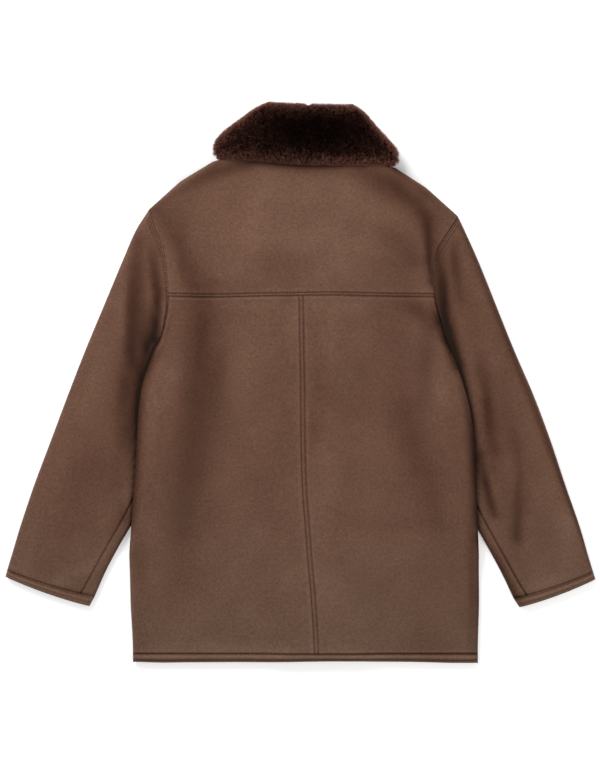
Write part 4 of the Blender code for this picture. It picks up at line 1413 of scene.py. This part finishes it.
    def cuff(self):
        """A bound band round the end. Its lower layer shows past the upper one."""
        wide = float(self.width(self.long))
        top = spread(0.0, wide, NEAR_FOLD, NEAR_FOLD, FINE)
        marks = np.concatenate([top, top[-2:0:-1]])
        up = np.repeat((1.0, -1.0), (len(top), len(top) - 2))
        edge = round_edge(np.minimum(marks, wide - marks), FOLD)
        way = self.band_way(marks / wide)
        deep = math.hypot(*way[0])
        rows = np.concatenate([[SEAM_GAP / 2], np.array(CUFF_ROWS) * CUFF_SPREAD])
        rows = np.append(rows[rows < deep - LEAST_STEP], deep)
        ends = self.surface(np.full((1, 1), self.long), marks[None, :], up, dips=False)
        outer, inner = (np.repeat(end, len(rows), axis=0) for end in ends)
        for number, down in enumerate(rows):
            part = down / deep
            short = 1.0 + part * np.where(up > 0, CUFF_LONGER, -CUFF_SHORTER)
            for grid in (outer, inner):
                grid[number, :, 0:2] += (part * short)[:, None] * way
            outer[number, :, 2] += self.cuff_height(down, deep, edge, up)
        # Painted shade and highlights on the band, and from the sleeves' table.
        painted_seam_light = profile(rows, CUFF_TOP_SHADE) + band_shade(deep - rows, deep)
        shade = painted_seam_light[:, None] + painted_shading(outer[..., 0], outer[..., 1], SLEEVE_PAINTED_SHADES)
        piece = wall("look_cuff_" + self.side, outer, inner, BAND_SKIN, ring=True, shade=shade)
        declare(piece)
        return piece


def top_of(surfaces, x, y):
    """The height of the highest surface at x, y, or None beside them all."""
    hits = [surface.ray_cast(Vector((x, y, ABOVE_ALL)), Vector((0.0, 0.0, -1.0)))[0] for surface in surfaces]
    return max((hit.z for hit in hits if hit is not None), default=None)


def stitch_points(places, top):
    """Rings round a thread that dips into the skin at both its ends."""
    way = unit(places[-1] - places[0])
    points = []
    for (x, y), ring in zip(places, STITCH):
        for turn in range(THREAD_SIDES):
            angle = 2.0 * math.pi * turn / THREAD_SIDES
            out = THREAD * ring.thick * math.cos(angle)
            lift = THREAD * (ring.thick * math.sin(angle) * THREAD_FLAT + ring.height)
            points.append((x - way[1] * out, y + way[0] * out, top + lift))
    return points


def stitch_faces(first):
    """Faces of the stitch whose points begin with number first."""
    last = first + (len(STITCH) - 1) * THREAD_SIDES
    faces = []
    for low in range(first, last, THREAD_SIDES):
        for turn in range(THREAD_SIDES):
            after = (turn + 1) % THREAD_SIDES
            faces.append((low + turn, low + THREAD_SIDES + turn, low + THREAD_SIDES + after, low + after))
    faces.append(tuple(range(first, first + THREAD_SIDES)))
    faces.append(tuple(reversed(range(last, last + THREAD_SIDES))))
    return faces


def thread_row(name, paths, panels):
    """Single stitches along plan paths, laid in their groove on the panels."""
    depsgraph = bpy.context.evaluated_depsgraph_get()
    surfaces = [BVHTree.FromObject(panel, depsgraph) for panel in panels]
    points = []
    faces = []
    for path in paths:
        gone = np.concatenate([[0.0], np.cumsum(np.hypot(*np.diff(path, axis=0).T))])
        for place in np.arange(STITCH_PITCH / 2, gone[-1], STITCH_PITCH):
            at = [place + ring.place * STITCH_LENGTH for ring in STITCH]
            places = np.stack([np.interp(at, gone, path[:, axis]) for axis in (0, 1)], axis=1)
            top = top_of(surfaces, *(places[2] + places[3]) / 2)
            if top is not None:
                faces += stitch_faces(len(points))
                points += stitch_points(places, top)
    piece = mesh_piece(name, points, faces, THREAD_LOOK, {})
    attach(piece, "root")


def unit(vectors):
    return vectors / np.maximum(np.linalg.norm(vectors, axis=-1, keepdims=True), 1e-9)


def collar_grid(side, depth):
    """A collar half's surface, a depth inside its face: from the front tip round the fold to the back."""
    rows = np.array(COLLAR_LEFT if side == "left" else COLLAR_RIGHT)
    drops = np.concatenate([[0.0], np.cumsum(np.hypot(*np.diff(rows[:, 2:4], axis=0).T))])
    share = np.linspace(0.0, 1.0, COLLAR_GRID_ROWS)[:, None]
    eased = 0.5 - 0.5 * np.cos(math.pi * share)
    drop = drops[-1] * (COLLAR_ROW_EASE * eased + (1.0 - COLLAR_ROW_EASE) * share)
    columns = np.stack([flow(drops, column, drop) for column in rows.T], axis=-1)
    fold, centre, tip = columns[..., 0:2], columns[..., 2:4], columns[..., 4:6]
    way = unit(centre - fold)
    start = fold + way * COLLAR_FOLD
    whole = COLLAR_LIFT + 2 * WALL + LAYER_GAP + STAND_ROOM + CLEARANCE + LEAF
    rim = round_edge(np.minimum(drop, drops[-1] - drop), RIM_ROUND)
    half = whole / 2 - LEAF + (LEAF - depth) * (RIM_PART + (1.0 - RIM_PART) * rim)
    bends = np.array(COLLAR_BENDS)
    shares = np.linspace(0.0, 1.0, COLLAR_GRID_COLUMNS)[1:]
    near = fold + way * (bends[None, :, None] * (COLLAR_FOLD - depth) + depth)
    curve = half * round_edge(bends[None, :], 1.0)
    thin = TIP_PART + (1.0 - TIP_PART) * round_edge((1.0 - shares) * TIP_LONG, TIP_ROUND)
    front = LEAF - (half - whole / 2 + LEAF) * thin
    back = whole / 2 + half * np.ones(len(shares))
    parts = []
    for up, end, level in ((-1.0, tip, front), (1.0, centre, back)):
        far = start + shares[None, :, None] * (end - start)
        height = np.concatenate([whole / 2 + up * curve, level], axis=1)
        parts.append(np.dstack([np.concatenate([near, far], axis=1), height]))
    return np.concatenate([parts[0][:, :0:-1], parts[1]], axis=1)


def make_collar(side):
    """The felted body of the fur: a little smaller than the fur, and dark."""
    grids = [collar_grid(side, depth) for depth in (FELT_DEPTH, LEAF)]
    for grid in grids:
        grid[:, -1, 0] += CENTRE_GAP if side == "right" else -CENTRE_GAP
        grid[..., 1] -= np.linspace(FELT_DROP, -FELT_RISE, len(grid))[:, None]
    piece = wall("look_collar_" + side, *grids, PILE)
    strands = make_fur(side, *grids)
    declare(piece)


def scatter(grid, count, rng):
    """Places on a grid of points, even by area, each with the surface's normal there."""
    normal = np.cross(grid[:-1, 1:] - grid[:-1, :-1], grid[1:, :-1] - grid[:-1, :-1])
    area = np.linalg.norm(normal, axis=-1)
    picked = rng.choice(area.size, size=count, p=area.ravel() / area.sum())
    row, column = np.unravel_index(picked, area.shape)
    u = rng.random(count)[:, None]
    v = rng.random(count)[:, None]
    upper = grid[row, column] * (1 - u) + grid[row, column + 1] * u
    lower = grid[row + 1, column] * (1 - u) + grid[row + 1, column + 1] * u
    return upper * (1 - v) + lower * v, unit(normal[row, column])


def facing(normal, out):
    """Normals turned to the side that out points to."""
    return normal * np.sign((normal * out).sum(axis=1) + 1e-12)[:, None]


def nearest_of(centres, place):
    """For each place the number of the nearest centre."""
    tree = KDTree(len(centres))
    for number, centre in enumerate(centres):
        tree.insert(centre, number)
    tree.balance()
    return np.array([tree.find(point)[1] for point in place])


def painted_fur_light(place):
    """Painted light on the tips: 1 where they lie flat and catch light, towards 0 in the painted shade of
    the pool right of the middle.
    """
    away = np.hypot((place[:, 0] - PAINTED_SHADE_POOL.x) / PAINTED_SHADE_POOL.wide, (place[:, 1] - PAINTED_SHADE_POOL.y) / PAINTED_SHADE_POOL.high)
    return smooth(away, PAINTED_SHADE_POOL.start, PAINTED_SHADE_POOL.fade)


def lead_count(place):
    """How many strands lead a tuft, from the ground that they all cover."""
    ground = np.ptp(place[:, 0]) * max(np.ptp(place[:, 1]), TUFT_LEAST)
    share = TUFT_COVER * ground / TUFT**2 / len(place)
    return max(2, int(len(place) * share))


def tufted(place, normal, lean, length, rng):
    """Each strand's way and tip, drawn together in tufts, and the number of its tuft."""
    leads = rng.choice(len(place), size=lead_count(place), replace=False)
    tuft = nearest_of(place[leads], place)
    ways = unit(normal + lean + STRAND_STRAY * rng.normal(size=place.shape))
    lead_ways = unit(normal[leads] + lean[leads] + TUFT_STRAY * rng.normal(size=(len(leads), 3)))
    own_tip = place + ways * length[:, None]
    tuft_tip = place[leads][tuft] + lead_ways[tuft] * length[:, None] * TUFT_REACH
    return ways, own_tip * (1.0 - TUFT_PULL) + tuft_tip * TUFT_PULL, tuft


def varied(factors, count, rng):
    least, more = factors
    return least + more * rng.random(count)


def strand_mesh(name, place, normal, lean, length, rng, rim=0.0):
    """Curved ribbons from their places, in one mesh. Their tips get painted highlights where rim is 1."""
    count = len(place)
    ways, tip, tuft = tufted(place, normal, lean, length, rng)
    bend = place + ways * (STRAND_BEND * length)[:, None]
    spin = rng.random(count) * 2.0 * math.pi
    turned = np.stack([np.cos(spin), np.sin(spin), np.full(count, STRAND_TILT)], axis=1)
    across = unit(np.cross(ways, turned))
    width = STRAND_WIDTH * varied(WIDTHS, count, rng)
    steps = np.linspace(0.0, 1.0, STRAND_CUTS + 1)
    lines = []
    for step in steps:
        middle = place * (1 - step) ** 2 + bend * 2 * step * (1 - step) + tip * step**2
        aside = across * (width * (1.0 - STRAND_TAPER * step**2))[:, None] / 2
        lines += [middle - aside, middle + aside]
    points = np.stack(lines, axis=1)
    points[..., 2] = np.maximum(points[..., 2], STRAND_LOWEST)
    first = (np.arange(count) * len(lines))[:, None]
    quads = np.concatenate([first + 2 * cut + np.array((0, 1, 3, 2)) for cut in range(STRAND_CUTS)])
    # The tips' tone: random by tuft and by strand, with painted shade in the pool and painted highlights on
    # the rims.
    own = TUFT_PART * rng.random(lead_count(place))[tuft]
    own = own + (1.0 - TUFT_PART) * rng.random(count)
    own = own * (DARKEST_TIP + (LIGHTEST_TIP - DARKEST_TIP) * painted_fur_light(tip))
    own = own + RIM_GLOW * rim * rng.random(count)
    layers = {"along": np.tile(np.repeat(steps, 2), count), "own": np.repeat(own, len(lines))}
    piece = mesh_piece(name, points.reshape(-1, 3).tolist(), quads.tolist(), FUR, layers)
    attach(piece, "root")
    return piece


def collar_strands(name, place, normal, rng):
    """Strands that lean out over the collar's edges and get painted highlights there, and are short at the
    parting.
    """
    x, y = place[:, 0], place[:, 1]
    top, low = np.interp(x, *TOP_EDGE), np.interp(x, *LOW_EDGE)
    lean = np.zeros(place.shape)
    lean[:, 1] = profile(top - y, TOP_LEAN) + profile(y - low, LOW_LEAN) + DOWN_LEAN
    low_rim = np.interp(x, *LOW_GLOW) * profile(y - low, LOW_RIM)
    rim = np.maximum(profile(top - y, TOP_RIM), low_rim)
    length = STRAND_LENGTH * varied(LENGTHS, len(place), rng)
    length = length * (1.0 - profile(x, PARTING) * smooth(y, PARTING_START, PARTING_FADE))
    return strand_mesh(name, place, normal, lean, length, rng, rim)


def make_fur(side, outer, inner):
    """Short dense fur over a collar half: its back leaf, its front leaf, and its edges."""
    half = outer.shape[1] // 2
    upward = np.array((0.0, 1.0, 0.0))
    patches = {
        "back": [(outer[:, half - 4 :], None)],
        "front": [(outer[:, : half - 3], None)],
        "rim": [(np.stack([outer[0], inner[0]]), upward), (np.stack([outer[-1], inner[-1]]), -upward)],
    }
    made = []
    for number, (patch, grids) in enumerate(patches.items()):
        rng = np.random.default_rng(FUR_SEED + number + (RIGHT_SEED if side == "right" else 0))
        count = strand_count(STRANDS[patch]) // len(grids)
        parts = []
        for grid, out in grids:
            place, normal = scatter(grid, count, rng)
            parts.append((place, facing(normal, place - COLLAR_MIDDLE if out is None else out)))
        place, normal = (np.concatenate(part) for part in zip(*parts))
        made.append(collar_strands("fur_" + side + "_" + patch, place, normal, rng))
    return made


def strand_count(whole):
    return whole // 1


def stand_side(ways, inner):
    """One row of the stand, from the left centre front round the neck to the right centre front."""
    hollow = LAYER_GAP + EVEN_RISE
    middle = COLLAR_LIFT + WALL + hollow / 2
    half = hollow / 2 if inner else WALL + hollow / 2
    folds = np.array(NEAR_FOLD)
    edge = half * round_edge(folds, FOLD)
    shifted = (folds + WALL * (1.0 - folds / FOLD) * inner)[:, None]
    across = unit(ways[1][0] - ways[0][0])
    halves = []
    for inward, way in ((across, ways[0]), (-across, ways[1])):
        along = unit(way[1] - way[0])
        knots = np.arange(len(way) - 1.0)
        places = np.linspace(0.0, len(way) - 2.0, STAND_FRONT_STEPS)[::-1]
        front = np.stack([np.interp(places, knots, way[1:, axis]) for axis in (0, 1)], axis=1)
        parts = [np.column_stack([front, np.full(len(front), middle - half)])]
        parts.append(np.column_stack([way[0] + along * shifted, middle - edge])[::-1])
        parts.append(np.column_stack([way[0] + inward * shifted, middle + edge])[1:])
        halves.append(np.concatenate(parts))
    share = np.linspace(0.0, 1.0, STAND_BACK_STEPS + 2)[1:-1, None]
    back = halves[0][-1] * (1.0 - share) + halves[1][-1] * share
    return np.concatenate([halves[0], back, halves[1][::-1]])


def make_stand():
    """The band inside the collar's fold. Its pile shows in the neck, and rolls over the top edge."""
    left = np.array(STAND_FRONT_LEFT)
    right = left * (-1, 1, -1, 1) + (2 * STAND_MIDDLE, 0.0, 2 * STAND_MIDDLE, 0.0)
    right[0] = STAND_FOLD_RIGHT
    sides = ([], [])
    for step in np.linspace(0.0, 1.0, STAND_ROWS):
        ways = [lines[:, :2] * (1.0 - step) + lines[:, 2:] * step for lines in (left, right)]
        for inner in (False, True):
            sides[inner].append(stand_side(ways, inner))
    outer, inner = (np.array(grid) for grid in sides)
    for grid in (outer, inner):
        grid[0, :, 1] += SEAM_GAP / 2
    piece = wall("look_collar_stand", outer, inner, PILE)
    rng = np.random.default_rng(FUR_SEED + STAND_SEED)
    place, normal = scatter(np.stack([outer[-1], inner[-1]]), strand_count(STAND_STRANDS), rng)
    lean = np.zeros(place.shape)
    lean[:, 2] = STAND_LEAN * np.sign(place[:, 2] - COLLAR_LIFT - WALL)
    length = STAND_STRAND_LENGTH * varied(STAND_LENGTHS, len(place), rng)
    roll = strand_mesh("fur_stand", place, facing(normal, (0.0, 1.0, 0.0)), lean, length, rng)
    declare(piece)


def yoke_path():
    """Along the yoke seam, on the yoke's side of it."""
    share = np.linspace(*YOKE_STITCHES, PATH_PLACES)
    ends = [float(body_line(LEVEL["yoke seam"], column)) for column in BODY_COLUMNS.split()[:4]]
    left_x, left_y, right_x, right_y = ends
    x = left_x + share * (right_x - left_x)
    y = left_y + share * (right_y - left_y) + STITCH_IN
    return np.stack([x, y + yoke_wave(x, y)], axis=1)


def sew(panels, sleeves, arms, hem_band):
    """All the rows of stitches that show on the back."""
    thread_row("stitches_yoke", [yoke_path()], [panels["yoke"]])
    low, high = CENTRE_STITCH_ENDS
    levels = np.linspace(LEVEL["hem seam"] + low, LEVEL["yoke seam"] - high, PATH_PLACES)
    centre = np.stack([body_line(levels, "centre_x") - CENTRE_STITCH_IN, levels], axis=1)
    thread_row("stitches_centre_back", [centre], [panels["left"], panels["right"]])
    for side, sleeve in sleeves.items():
        armhole, cuff = sleeve.stitch_rows()
        thread_row("stitches_armhole_" + side, armhole, arms[side][:2])
        thread_row("stitches_cuff_" + side, [cuff], arms[side][2:])
    x = np.linspace(*HEM_STITCHES, PATH_PLACES)
    y = LEVEL["hem edge"] + HEM_LIP + BAND_STITCH_IN + HEM_STITCH_WAVE * hem_wave(x)
    thread_row("stitches_hem", [np.stack([x, y], axis=1)], [hem_band])


def make_floor():
    ends = (-FLOOR_SIZE, FLOOR_SIZE)
    corners = [(x, y, 0.0) for x, y in zip(ends + ends[::-1], (ends[0], ends[0], ends[1], ends[1]))]
    floor = mesh_piece("floor", corners, [(0, 1, 2, 3)], paper_look(), {})
    floor.location.z = -FLOOR_DROP


def area_light(name, place, size, watts):
    """A square lamp that looks at the origin."""
    light = bpy.data.lights.new(name, "AREA")
    light.shape = "RECTANGLE"
    light.size = light.size_y = size
    light.energy = watts
    lamp = link(bpy.data.objects.new(name, light))
    lamp.location = place
    lamp.rotation_mode = "QUATERNION"
    lamp.rotation_quaternion = (-Vector(place)).to_track_quat("-Z", "Y")
    lamp.visible_camera = False


def make_studio():
    scene = bpy.context.scene
    scene.world = bpy.data.worlds.new("studio")
    scene.world.use_nodes = True
    sky = scene.world.node_tree.nodes["Background"]
    sky.inputs["Color"].default_value = WHITE
    sky.inputs["Strength"].default_value = SKY
    for name, place, size, watts in LAMPS:
        area_light(name, place, size, watts)
    scene.view_settings.view_transform = "Standard"
    scene.view_settings.look = "None"


def make_camera():
    """Straight above, where the back lies at the photograph's scale."""
    camera = bpy.data.cameras.new("camera")
    camera.lens = LENS
    camera.sensor_width = SENSOR
    camera.clip_end = CAMERA_REACH
    eye = link(bpy.data.objects.new("camera", camera))
    x = (IMAGE[0] / 2 - ORIGIN_PIXEL[0]) * METRES_PER_PIXEL
    y = (ORIGIN_PIXEL[1] - IMAGE[1] / 2) * METRES_PER_PIXEL
    eye.location = (x, y, LENS / SENSOR * IMAGE[1] * METRES_PER_PIXEL + 2 * WALL)
    bpy.context.scene.camera = eye


def main():
    panels = {"yoke": make_yoke()}
    panels["left"], panels["right"] = make_lower_back()
    hem_band = make_hem_bands()
    make_fronts()
    sleeves = {}
    arms = {}
    for side in ("left", "right"):
        sleeves[side] = Sleeve(side)
        arms[side] = [sleeves[side].piece("top"), sleeves[side].piece("under"), sleeves[side].cuff()]
        make_collar(side)
    make_stand()
    sew(panels, sleeves, arms, hem_band)
    make_floor()
    make_studio()
    make_camera()


main()
